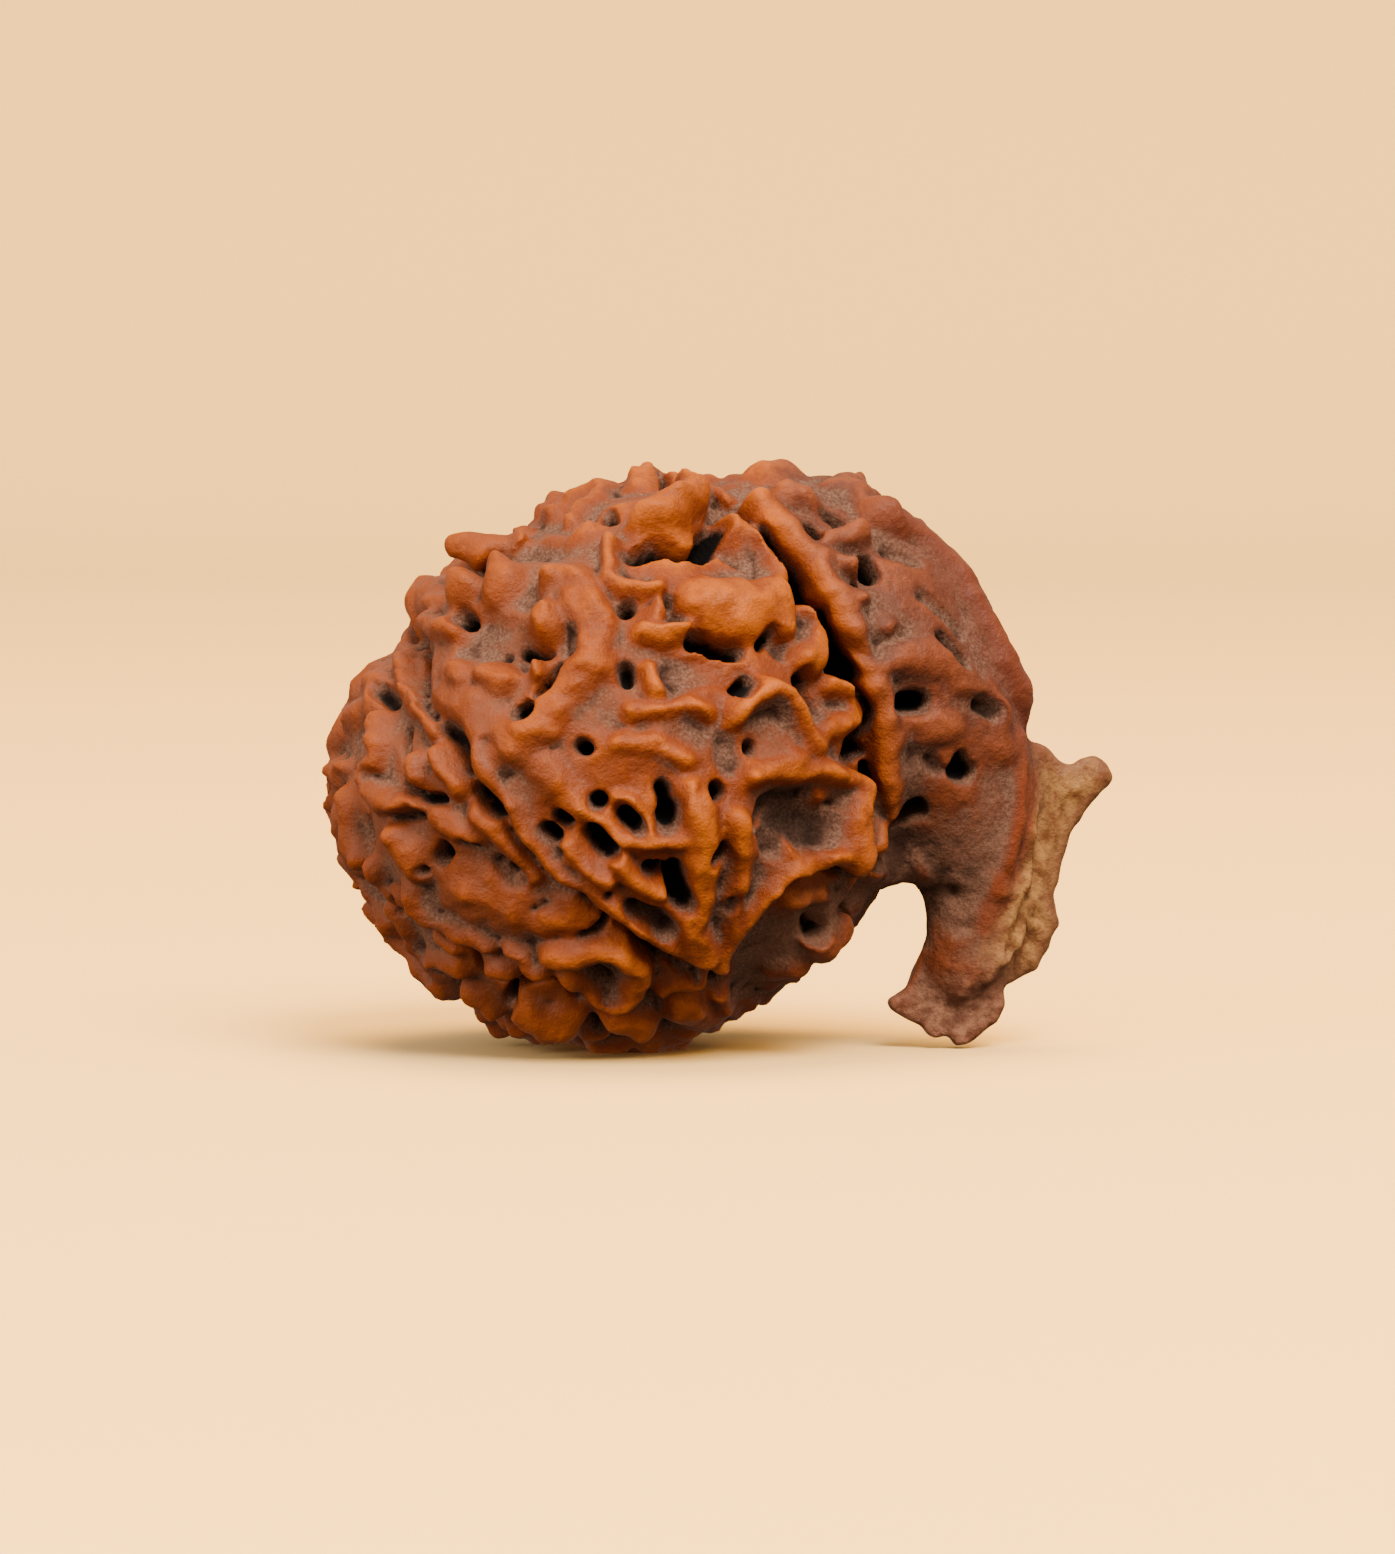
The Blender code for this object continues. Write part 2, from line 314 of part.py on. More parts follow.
LEFT_PITS = [
    (0.18, 0.7, [(-8.4, 15.4), (-8.2, 14.6), (-8.2, 13.7), (-8.0, 13.0), (-7.4, 12.3)]),
    (0.34, 1.0, [(-7.1, 12.0), (-6.7, 11.6), (-6.4, 11.0), (-6.3, 10.5)]),
    (0.16, 0.6, [(-6.1, 10.2), (-5.0, 8.9), (-4.8, 8.1), (-4.2, 7.3), (-3.7, 6.6), (-3.1, 6.1),
                 (-2.1, 5.7)]),
    (0.20, 0.8, [(-2.1, 5.5), (-1.2, 4.9), (-0.3, 4.2), (0.6, 3.4), (1.2, 3.0), (2.2, 2.6)]),
    (0.36, 1.9, [(-5.9, 9.6), (-5.6, 9.2), (-5.2, 8.8)]),
    (0.20, 0.7, [(-4.3, 7.3), (-3.9, 6.9)]),
    (0.22, 1.2, [(-8.8, 10.0), (-8.5, 9.6), (-8.0, 9.3), (-7.4, 9.2)]),
    (0.28, 0.5, [(-8.8, 12.0), (-8.8, 10.9)]),
    (0.28, 0.7, [(-9.1, 8.6), (-8.3, 8.7)]),
    (0.34, 1.6, [(-7.3, 7.3), (-7.5, 6.9)]),
    (0.24, 1.1, [(-8.0, 6.6)]),
    (0.24, 0.6, [(-6.5, 7.6), (-6.2, 7.4)]),
    (0.14, 0.6, [(-6.1, 6.4)]),
    (0.28, 1.6, [(-4.85, 6.45)]),
    (0.50, 0.4, [(-5.2, 6.6), (-4.6, 6.2)]),
    (0.17, 1.1, [(-3.95, 5.05), (-3.5, 5.3)]),
    (0.20, 1.2, [(-2.1, 4.1), (-1.5, 4.2), (-1.1, 4.7)]),
    (0.28, 1.2, [(0.0, 3.9), (0.6, 3.3), (0.9, 2.9)]),
    (0.32, 0.9, [(-1.6, 2.6), (-1.1, 2.3)]),
    (0.20, 0.5, [(-4.4, 3.3)]),
    (0.28, 1.3, [(-6.1, 3.1), (-5.7, 2.4), (-4.9, 2.2), (-4.2, 2.3), (-3.3, 2.5), (-2.7, 2.1), (-2.2, 1.6)]),
    (0.26, 1.1, [(-5.0, 1.6), (-4.7, 1.9)]),
    (0.40, 1.0, [(-1.7, 0.9), (-1.6, 0.4)]),
    (0.40, 1.2, [(2.7, 2.4), (3.2, 2.2)]),
    (0.20, 0.9, [(-11.0, 10.5), (-10.9, 9.8), (-10.5, 8.9), (-10.3, 8.0), (-10.2, 7.2)]),
    (0.20, 0.8, [(-9.1, 5.6), (-8.7, 5.0), (-7.9, 4.4), (-6.9, 3.9), (-6.3, 3.4)]),
    (0.38, 1.0, [(-9.7, 13.4), (-9.3, 13.1)]),
    (0.22, 1.2, [(-9.15, 4.8)]),
    (0.28, 0.6, [(-10.6, 8.3), (-10.5, 7.9)]),
]

# The far side: furrows run from pole to pole and split the body into segments, as on the front.
POLE = Vector((-0.355, 0.564, 0.745))
FAR_FURROWS_DEG = (70.0, 118.0, 166.0, 214.0)
TRUNK_TIP = (9.6, 8.0)
FOOT_START = 8.2
TIP_CALM = 0.6
TRUNK_CALM = 0.35
RIM_HALF_WIDTH = 1.8
FRILL_CALM = 0.8
RESTING_KNOB = 1.5
FAR_RIDGES = 270
FAR_RIDGE_SPACING = 1.05
FAR_RIDGE_HALF = (0.5, 0.9)
FAR_RIDGE_HEIGHT = (0.3, 0.65)
FAR_PITS = 60
FAR_PIT_SPACING = 2.0
FAR_PIT_HALF = (0.25, 0.45)
FAR_PIT_DEPTH = (0.8, 1.6)
FURROW = (0.34, 1.2)
FURROW_LIP = (0.55, 0.55)
LIP_OFFSET_DEG = 5.5
SEED = 8
FAR_AWAY = 40.0
THIN = 3.0
TOUCH = 0.02
TINY = 1e-12

# How strokes are cut: a ridge's soft foot and the share of its round core, how strokes run into each
# other, how their width swells, and how high ridges and how deep pits are against their given numbers.
RIDGE_FOOT = 1.7
RIDGE_CORE = 0.68
RIDGE_WIDTH = 1.1
BLEND = 3.4
BEADING = 0.22
BEAD_LENGTH = 1.0
RIDGE_GAIN = 1.4
PIT_GAIN = 1.0
HOLLOW = 0.25
EDGE_LIFT = 0.35

# Waves in the surface: (wave length, height), and how far strokes stray from their path.
SWELLS = [(4.5, 0.3), (1.6, 0.22)]
KNOBS = [(1.0, 0.3), (0.6, 0.08)]
STROKE_STRAY = 0.18
STROKE_STRAY_LENGTH = 1.1


def clear_scene():
    for thing in list(bpy.data.objects):
        bpy.data.objects.remove(thing)


def mesh_object(name, mesh, collection):
    made = bpy.data.objects.new(name, mesh)
    collection.objects.link(made)
    return made


def frozen(thing):
    """The object's mesh with its modifiers and its place applied."""
    graph = bpy.context.evaluated_depsgraph_get()
    mesh = bpy.data.meshes.new_from_object(thing.evaluated_get(graph))
    mesh.transform(thing.matrix_world)
    return mesh


def points_of(mesh):
    found = np.empty(len(mesh.vertices) * 3)
    mesh.vertices.foreach_get("co", found)
    return found.reshape(-1, 3)


def normals_of(mesh):
    found = np.empty(len(mesh.vertices) * 3)
    mesh.vertices.foreach_get("normal", found)
    return found.reshape(-1, 3)


def joined(meshes):
    """One mesh that holds all of these, still overlapping."""
    shapes = bmesh.new()
    for mesh in meshes:
        shapes.from_mesh(mesh)
    bmesh.ops.remove_doubles(shapes, verts=shapes.verts, dist=1e-4)
    whole = bpy.data.meshes.new("joined")
    shapes.to_mesh(whole)
    shapes.free()
    return whole


def fused(mesh, voxel, rounds, collection):
    """The overlapping shapes as one closed skin, with their meeting lines smoothed."""
    thing = mesh_object("fusing", mesh, collection)
    remesh = thing.modifiers.new("fuse", "REMESH")
    remesh.mode = "VOXEL"
    remesh.voxel_size = voxel
    smooth = thing.modifiers.new("smooth", "SMOOTH")
    smooth.factor = 0.5
    smooth.iterations = rounds
    bpy.context.view_layer.update()
    skin = frozen(thing)
    bpy.data.objects.remove(thing)
    return skin


def body_mesh():
    """A ball whose outline from the front is the body's outline."""
    bpy.ops.mesh.primitive_uv_sphere_add(segments=128, ring_count=80, radius=1.0)
    ball = bpy.context.object
    mesh = frozen(ball)
    bpy.data.objects.remove(ball)
    out = np.array([(across - BODY_CENTRE.x, up - BODY_CENTRE.z) for across, up in BODY_OUTLINE])
    turns = np.arctan2(out[:, 1], out[:, 0])
    order = np.argsort(turns)
    reach = np.linalg.norm(out, axis=1)[order]
    unit = points_of(mesh)
    turn = np.arctan2(unit[:, 2], unit[:, 0])
    radius = np.interp(turn, turns[order], reach, period=2 * math.pi)
    scaled = unit * np.stack([radius, np.full(len(unit), BODY_DEPTH), radius], axis=1)
    mesh.vertices.foreach_set("co", (scaled + np.array(BODY_CENTRE)).ravel())
    return mesh


def tube_mesh(name, stations, depth_scale, depth, collection):
    """A tapering tube along a line, scaled from front to back and moved back by depth."""
    line = bpy.data.curves.new(name, "CURVE")
    line.dimensions = "3D"
    line.bevel_depth = 1.0
    line.bevel_resolution = 10
    line.resolution_u = 8
    line.use_fill_caps = True
    spline = line.splines.new("NURBS")
    spline.points.add(len(stations) - 1)
    spline.order_u = 3
    spline.use_endpoint_u = True
    for point, (across, up, half_width) in zip(spline.points, stations):
        point.co = (across, 0.0, up, 1.0)
        point.radius = half_width
    tube = mesh_object(name, line, collection)
    tube.scale.y = depth_scale
    tube.location.y = depth
    bpy.context.view_layer.update()
    mesh = frozen(tube)
    bpy.data.objects.remove(tube)
    return mesh


def blade_mesh(name, outline, thickness, collection):
    """A flat blade of this outline, standing in the XZ plane."""
    flat = bpy.data.curves.new(name, "CURVE")
    flat.dimensions = "2D"
    flat.fill_mode = "BOTH"
    flat.extrude = thickness / 2
    edge = flat.splines.new("POLY")
    edge.points.add(len(outline) - 1)
    edge.use_cyclic_u = True
    for point, (across, up) in zip(edge.points, outline):
        point.co = (across, up, 0.0, 1.0)
    blade = mesh_object(name, flat, collection)
    blade.rotation_euler.x = math.radians(90)
    bpy.context.view_layer.update()
    mesh = frozen(blade)
    bpy.data.objects.remove(blade)
    return mesh


def frill_mesh(collection):
    """The frill leaves the trunk's outer edge and bends towards the back."""
    mesh = blade_mesh("frill", FRILL_OUTLINE, FRILL_THICKNESS, collection)
    start_x, start_y = FRILL_START
    for vertex in mesh.vertices:
        vertex.co.y += start_y + FRILL_BEND_BACK * (vertex.co.x - start_x)
    return mesh


class Surface:
    """The smooth fused shape, and the ways to find a point on it."""

    def __init__(self, mesh):
        self.points = points_of(mesh)
        self.normals = normals_of(mesh)
        self.tree = BVHTree.FromPolygons(
            [tuple(p) for p in self.points], [tuple(f.vertices) for f in mesh.polygons]
        )
        self.look = Vector((0.0, math.cos(LOOK_DOWN), -math.sin(LOOK_DOWN)))
        self.up = Vector((0.0, math.sin(LOOK_DOWN), math.cos(LOOK_DOWN)))

    def on_front(self, across, up):
        """The point that is seen at this place from the front, or the nearest one to it past the edge."""
        place = Vector((across, 0.0, 0.0)) + self.up * up
        hit = self.tree.ray_cast(place - self.look * FAR_AWAY, self.look)[0]
        return hit or self.tree.find_nearest(place)[0]

    def aimed(self, across, up):
        """The point on the front that is seen at this place once it is carved, for carving raises it."""
        lift = self.tree.find_nearest(self.on_front(across, up))[1] * EDGE_LIFT
        return self.on_front(across - lift.x, up - lift.dot(self.up))

    def outwards(self, direction):
        """The body's surface in this direction from its centre."""
        far = BODY_CENTRE + direction.normalized() * FAR_AWAY
        return self.tree.ray_cast(far, -direction)[0]

    def is_hidden(self, point):
        """Whether the surface faces away from the front at this point and is no thin blade or knob."""
        normal = self.tree.find_nearest(point)[1]
        depth = self.tree.ray_cast(point - TOUCH * normal, -normal)[3]
        return normal.dot(self.look) > -0.12 and depth is not None and depth > THIN

    def seen_at(self):
        """Each vertex once it is carved, as (across, up) from the front, and whether it faces the front."""
        lifted = self.points + EDGE_LIFT * self.normals
        across = lifted[:, 0]
        up = lifted @ np.array(self.up)
        return across, up, self.normals @ np.array(self.look) < 0.1


def laid(surface, strokes):
    """Strokes of the front as paths on the surface."""
    return [(half, height, [surface.aimed(*p) for p in path]) for half, height, path in strokes]


def front_strokes(surface):
    """All ridges and all pits of the front."""
    ridges = laid(surface, SHOULDER_RIDGES + PLATE_RIDGES + ROOT_RIDGES + LEFT_RIDGES)
    pits = laid(surface, SHOULDER_PITS + PLATE_PITS + ROOT_PITS + LEFT_PITS)
    return ridges, pits


def meridian(surface, degrees, wander, draw):
    """A path from near one pole to near the other, at this angle round the body's axis."""
    axis = POLE.normalized()
    side = axis.orthogonal().normalized()
    path = []
    for step in range(1, 16):
        polar = math.radians(step * 180 / 16)
        turn = math.radians(degrees + draw.uniform(-wander, wander))
        outward = Matrix.Rotation(turn, 3, axis) @ side
        point = surface.outwards(axis * math.cos(polar) + outward * math.sin(polar))
        path.append(point)
    return path


def walk(surface, start, steps, stride, draw):
    """A crooked path over the surface."""
    path = [start]
    heading = random_direction(draw)
    for _ in range(steps):
        point, normal = surface.tree.find_nearest(path[-1])[:2]
        heading = heading + 0.9 * random_direction(draw)
        heading = (heading - normal * heading.dot(normal)).normalized()
        path.append(surface.tree.find_nearest(point + heading * stride)[0])
    return path


def random_direction(draw):
    return Vector((draw.gauss(0, 1), draw.gauss(0, 1), draw.gauss(0, 1)))


def hidden_spots(surface, count, spacing, draw):
    """Points spread over the side that faces away from the front, no two closer than spacing."""
    spots = []
    for _ in range(count * 12):
        point = surface.outwards(random_direction(draw))
        on_trunk = point.x > TRUNK_TIP[0] and (point.z < TRUNK_TIP[1] or abs(point.y) < RIM_HALF_WIDTH)
        if on_trunk or not surface.is_hidden(point):
            continue
        if len(spots) < count and all((point - other).length > spacing for other in spots):
            spots.append(point)
    return spots


def far_strokes(surface):
    """Ridges and pits of the far side, and the knob that the body rests on."""
    draw = random.Random(SEED)
    under = surface.outwards(Vector((0.0, 0.0, -1.0)) - Vector((BODY_CENTRE.x, 0.0, 0.0)) / BODY_CENTRE.z)
    ridges = [(RESTING_KNOB, 0.9, [under])]
    pits = []
    for degrees in FAR_FURROWS_DEG:
        path = meridian(surface, degrees, 3.0, draw)
        path = [p for p in path if surface.is_hidden(p)]
        pits.append((*FURROW, path))
        for side in (-LIP_OFFSET_DEG, LIP_OFFSET_DEG):
            lip = meridian(surface, degrees + side, 1.5, draw)
            ridges.append((*FURROW_LIP, [p for p in lip if surface.is_hidden(p)]))
    for number, spot in enumerate(hidden_spots(surface, FAR_RIDGES, FAR_RIDGE_SPACING, draw)):
        own = random.Random(SEED + number)
        path = walk(surface, spot, own.randint(1, 3), 0.95, own)
        ridges.append((own.uniform(*FAR_RIDGE_HALF), own.uniform(*FAR_RIDGE_HEIGHT), path))
    for number, spot in enumerate(hidden_spots(surface, FAR_PITS, FAR_PIT_SPACING, draw)):
        own = random.Random(SEED - number)
        path = [p for p in walk(surface, spot, own.randint(0, 1), 0.5, own) if surface.is_hidden(p)]
        pits.append((own.uniform(*FAR_PIT_HALF), own.uniform(*FAR_PIT_DEPTH), path))
    return ridges, pits


def waves(points, length):
    """Smooth noise over the points, from about -1 to 1."""
    return np.array([noise.noise(Vector(p) / length) for p in points])


def strayed(points):
    """The points, shifted a little by smooth noise, so that strokes are not perfect tubes."""
    shifts = [noise.noise_vector(Vector(p) / STROKE_STRAY_LENGTH) for p in points]
    return points + STROKE_STRAY * np.array(shifts)


def distance_to_path(points, path):
    nearest = np.full(len(points), np.inf)
    ends = path[1:] or path
    for a, b in zip(path, ends):
        a, b = np.array(a), np.array(b)
        along = b - a
        length_squared = along @ along
        share = np.clip((points - a) @ along / max(length_squared, TINY), 0, 1)
        nearest = np.minimum(nearest, np.linalg.norm(points - a - share[:, None] * along, axis=1))
    return nearest


def dome(share):
    """The section of a ridge: round on top, with a wide soft foot."""
    core = np.clip(1 - share**2, 0, 1) ** 0.8
    foot = np.clip(1 - (share / RIDGE_FOOT) ** 2, 0, 1) ** 2
    return RIDGE_CORE * core + (1 - RIDGE_CORE) * foot


def well(share):
    """The section of a pit: a flat bottom and steep sides."""
    return np.clip(1 - share**3, 0, 1) ** 0.8


def stroke_heights(points, widths, strokes, section, reach):
    """The highest stroke over each point, with near ties blended."""
    total = np.zeros(len(points))
    for half, height, path in strokes:
        if not path:
            continue
        corners = np.array([list(p) for p in path])
        margin = half * reach * (1 + BEADING)
        near = ((points > corners.min(0) - margin) & (points < corners.max(0) + margin)).all(1)
        if near.any():
            share = distance_to_path(points[near], path) / (half * widths[near])
            total[near] += (height * section(share)) ** BLEND
    return total ** (1 / BLEND)


def outline_depth(across, up, outline):
    """How far each point is inside a closed outline; it is negative outside."""
    inside = np.zeros(len(across), bool)
    nearest = np.full(len(across), np.inf)
    for (ax, ay), (bx, by) in zip(outline, outline[1:] + outline[:1]):
        dx, dy = bx - ax, by - ay
        share = np.clip(((across - ax) * dx + (up - ay) * dy) / (dx * dx + dy * dy), 0, 1)
        nearest = np.minimum(nearest, np.hypot(across - ax - share * dx, up - ay - share * dy))
        if ay != by:
            crosses = ((ay > up) != (by > up)) & (across < (up - ay) / (by - ay) * dx + ax)
            inside ^= crosses
    return np.where(inside, nearest, -nearest)


def swells(points):
    return sum(height * waves(points, length) for length, height in SWELLS)


def knobs(points, raised):
    """Round bumps, which stand on the ridges more than between them."""
    bumps = sum(height * np.abs(waves(points, length)) ** 1.5 * 2 for length, height in KNOBS)
    return bumps * (0.3 + np.clip(raised, 0.0, 0.7))


def calm(across, up):
    """The share of the relief at each place: full on the body, less on the trunk, little on the frill."""
    frill = np.clip((across - FRILL_START[0]) / 1.0, 0.0, 1.0)
    trunk = np.clip((across - TRUNK_TIP[0]) / 1.5, 0.0, 1.0)
    beside = np.clip((across - FOOT_START) / 0.8, 0.0, 1.0)
    tip = beside * np.clip((TRUNK_TIP[1] - up) / 3.0, 0.0, 1.0)
    return 1 - np.maximum(np.maximum(FRILL_CALM * frill, TIP_CALM * tip), TRUNK_CALM * trunk)


def relief(surface):
    """How far each vertex of the surface moves along its normal."""
    far_ridges, far_pits = far_strokes(surface)
    points = strayed(surface.points)
    across, up, facing = surface.seen_at()
    plate = np.clip(outline_depth(across, up, PLATE_OUTLINE) / PLATE_EDGE, 0, 1) * facing
    widths = 1 + BEADING * waves(surface.points, BEAD_LENGTH)
    front_ridges, front_pits = front_strokes(surface)
    ridges, pits = front_ridges + far_ridges, front_pits + far_pits
    ridge_widths = RIDGE_WIDTH * widths
    raised = RIDGE_GAIN * stroke_heights(points, ridge_widths, ridges, dome, RIDGE_WIDTH * RIDGE_FOOT)
    sunk = PIT_GAIN * stroke_heights(points, widths, pits, well, 1.0)
    loose = raised - sunk + swells(points) + knobs(points, raised) - HOLLOW
    return PLATE_LIFT * plate + calm(across, up) * loose


def carved(mesh):
    surface = Surface(mesh)
    moved = surface.points + surface.normals * relief(surface)[:, None]
    mesh.vertices.foreach_set("co", moved.ravel())
    mesh.update()
    return mesh


def seed_material():
    material = bpy.data.materials.new("rudraksha shell")
    material.use_nodes = True
    shader = material.node_tree.nodes["Principled BSDF"]
    shader.inputs["Base Color"].default_value = (0.42, 0.13, 0.04, 1.0)
    shader.inputs["Roughness"].default_value = 0.5
    shader.inputs["Metallic"].default_value = 0.0
    return material


def thinned(mesh, collection):
    thing = mesh_object("thinning", mesh, collection)
    thin = thing.modifiers.new("thin", "DECIMATE")
    thin.ratio = TRIANGLES / sum(len(f.vertices) - 2 for f in mesh.polygons)
    bpy.context.view_layer.update()
    coarse = frozen(thing)
    bpy.data.objects.remove(thing)
    return coarse


def floor_cutter(collection):
    """A block below the resting surface. It leaves the small flat spots that the seed lies on."""
    bpy.ops.mesh.primitive_cube_add(size=1.0, location=(0.0, 0.0, FLOOR_BITE - 5.0))
    block = bpy.context.object
    block.scale = (60.0, 60.0, 10.0)
    bpy.ops.object.transform_apply(location=True, scale=True, rotation=False)
    block.name = "floor_cutter"
    block.hide_render = True
    block.display_type = "WIRE"
    for holder in list(block.users_collection):
        holder.objects.unlink(block)
    collection.objects.link(block)
    return block


def main():
    clear_scene()
    parts = bpy.data.collections.new("rudraksha seed")
    cutters = bpy.data.collections.new("cutters")
    for collection in (parts, cutters):
        bpy.context.scene.collection.children.link(collection)
    trunk = tube_mesh("trunk", TRUNK_LINE, TRUNK_DEPTH_SCALE, 0.0, cutters)
    plain = fused(joined([body_mesh(), trunk]), BASE_VOXEL, PLAIN_ROUNDS, cutters)
    finger = tube_mesh("finger", FINGER_LINE, 1.0, FINGER_DEPTH, cutters)
    foot = blade_mesh("foot", FOOT_OUTLINE, FOOT_THICKNESS, cutters)
    lobe = tube_mesh("lobe", LOBE_LINE, 1.0, LOBE_DEPTH, cutters)
    thin_parts = [frill_mesh(cutters), foot, finger, lobe]
    whole = fused(joined([plain] + thin_parts), BASE_VOXEL, JOIN_ROUNDS, cutters)
    skin = fused(carved(whole), CARVED_VOXEL, SKIN_ROUNDS, cutters)
    coarse = thinned(skin, cutters)
    block = floor_cutter(cutters)
    seed = mesh_object("seed", coarse, parts)
    cut = seed.modifiers.new("rest", "BOOLEAN")
    cut.operation = "DIFFERENCE"
    cut.object = block
    bpy.context.view_layer.update()
    final = frozen(seed)
    seed.modifiers.clear()
    final.transform(Matrix.Scale(MM, 4))
    seed.data = final
    bpy.data.objects.remove(block)
    final.materials.clear()
    final.materials.append(seed_material())
    final.shade_smooth()
    final.set_sharp_from_angle(angle=math.radians(60))


main()
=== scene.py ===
# %% [markdown]
# # A rudraksha seed with a trunk
#
# This lesson makes the finished look of one rudraksha seed, the woody stone of an Elaeocarpus fruit. A round
# body about 22 mm high carries a curved trunk with a thin frill. Its skin is a net of waxy ridges over
# dusty hollows and dark pits.
#
# The seed grew in one piece, so there is one mesh. It is made like its plain model: a body and a trunk are
# fused, the frill and the foot are added, and strokes raise the ridges and sink the pits. Here the skin is
# finer, and it is coloured by what the strokes did to it.
#
# All the lengths are in millimetres until the mesh is finished. The plain model is loaded first.

import json
import math
import random

import bmesh
import bpy
import numpy as np
from mathutils import Matrix, Vector, noise
from mathutils.bvhtree import BVHTree
from mathutils.kdtree import KDTree

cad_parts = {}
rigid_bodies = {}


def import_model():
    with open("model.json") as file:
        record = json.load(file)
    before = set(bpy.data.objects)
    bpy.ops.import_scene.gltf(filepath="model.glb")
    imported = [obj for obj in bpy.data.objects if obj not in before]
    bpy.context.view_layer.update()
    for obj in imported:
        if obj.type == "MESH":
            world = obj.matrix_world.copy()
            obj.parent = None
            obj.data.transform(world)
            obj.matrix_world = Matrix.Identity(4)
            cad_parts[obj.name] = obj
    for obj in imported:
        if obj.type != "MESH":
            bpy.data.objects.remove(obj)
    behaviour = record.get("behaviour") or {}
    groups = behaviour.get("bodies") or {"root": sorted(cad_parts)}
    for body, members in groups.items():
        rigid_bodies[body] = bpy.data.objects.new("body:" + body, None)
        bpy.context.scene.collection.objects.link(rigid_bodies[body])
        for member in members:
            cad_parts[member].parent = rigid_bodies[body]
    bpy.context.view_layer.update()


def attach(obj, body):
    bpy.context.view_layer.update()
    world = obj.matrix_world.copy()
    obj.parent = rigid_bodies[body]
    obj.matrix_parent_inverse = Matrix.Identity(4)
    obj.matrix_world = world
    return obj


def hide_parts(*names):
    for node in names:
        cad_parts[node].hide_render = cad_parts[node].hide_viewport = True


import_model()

# %% [markdown]
# ## Sizes
#
# The body is not quite a ball: its outline from the front is a list of points (across, up). The trunk is a
# line of (across, up, half width), thick at the root and thin at the tip.

# %% Sizes
MM = 0.001
BODY_CENTRE = Vector((-1.0, 0.0, 10.5))
BODY_DEPTH = 10.4
TRUNK_DEPTH_SCALE = 0.85
FRILL_THICKNESS = 0.9
FRILL_BEND_BACK = 0.3
FRILL_START = (14.0, 0.6)
FOOT_THICKNESS = 1.2
FINGER_DEPTH = -2.6
LOBE_DEPTH = -4.3
PLATE_LIFT = 0.45
PLATE_EDGE = 0.4
LOOK_DOWN = math.radians(4.0)
VOXEL = 0.11
PLAIN_ROUNDS = 110
JOIN_ROUNDS = 18
SKIN_ROUNDS = 6
TRIANGLES = 190000

BODY_OUTLINE = [
    (-11.3, 9.6), (-10.9, 7.4), (-9.9, 5.8), (-8.85, 4.35), (-7.75, 3.25), (-6.4, 2.1), (-5.0, 1.3),
    (-3.4, 0.6), (0.0, 0.4),
    (2.4, 1.2), (3.9, 2.0), (4.9, 2.9), (5.7, 3.6), (6.8, 3.9), (7.4, 4.5), (8.1, 5.35),
    (8.9, 6.05), (9.8, 6.4), (9.6, 7.4), (9.2, 9.0), (9.0, 11.0),
    (8.6, 13.5), (7.6, 16.0), (6.0, 18.0), (4.0, 19.5), (2.0, 20.7), (0.5, 21.0), (-1.0, 20.8),
    (-2.4, 20.3), (-3.5, 19.6), (-4.8, 18.7), (-6.2, 18.0), (-7.2, 17.2), (-7.8, 16.4), (-8.2, 15.2),
    (-9.2, 14.0), (-10.3, 13.0), (-10.7, 12.1), (-11.0, 11.0),
]
TRUNK_LINE = [
    (1.2, 16.0, 4.9),
    (3.2, 16.0, 5.35),
    (6.0, 15.4, 6.0),
    (8.2, 13.5, 5.9),
    (10.1, 11.0, 5.0),
    (11.7, 8.6, 3.5),
    (12.2, 7.2, 2.7),
    (12.45, 5.9, 2.0),
    (12.4, 4.4, 1.85),
    (12.0, 2.8, 1.8),
    (11.8, 1.9, 1.2),
    (11.8, 1.3, 0.7),
]

# %% [markdown]
# The frill is a thin wavy wing along the trunk's outer edge. The foot is the spread tip that the trunk
# stands on.

# %% The outlines of the frill and the foot
FRILL_OUTLINE = [
    (14.3, 11.6), (15.2, 11.2), (15.7, 10.6), (16.1, 10.5), (16.4, 10.8), (16.9, 10.95), (17.4, 10.7),
    (17.8, 10.0), (17.6, 9.7), (17.0, 9.2), (16.6, 8.7), (16.5, 8.4), (16.2, 8.2), (15.9, 7.4),
    (15.7, 6.7), (15.6, 6.0), (15.45, 5.6), (15.6, 5.0), (15.75, 4.5), (15.4, 4.1), (15.35, 3.6),
    (15.0, 3.3), (14.9, 2.8), (14.4, 2.6), (13.9, 2.3), (12.8, 2.6), (13.2, 5.0), (13.6, 8.0),
]
FOOT_OUTLINE = [
    (9.15, 1.8), (9.25, 1.5), (9.7, 1.1), (10.2, 0.85), (10.45, 0.7), (10.6, 0.4), (11.0, 0.25),
    (11.35, 0.35), (11.5, 0.5), (11.65, 0.0), (12.2, 0.0), (12.9, 0.5), (13.4, 1.0), (13.7, 1.6),
    (13.6, 2.2), (13.6, 3.2), (13.6, 4.4), (12.5, 5.2), (11.0, 4.6), (10.4, 3.8), (10.1, 3.0),
    (9.9, 2.3), (9.6, 2.05),
]
print("frill and foot outlines:", len(FRILL_OUTLINE), "and", len(FOOT_OUTLINE), "points")

# %% [markdown]
# Two small forms stand free of the body. A thin finger points out at the upper left, and a lobe with a hole
# hangs beside the trunk. Strokes can't make them, because a stroke only lifts the skin that is there.

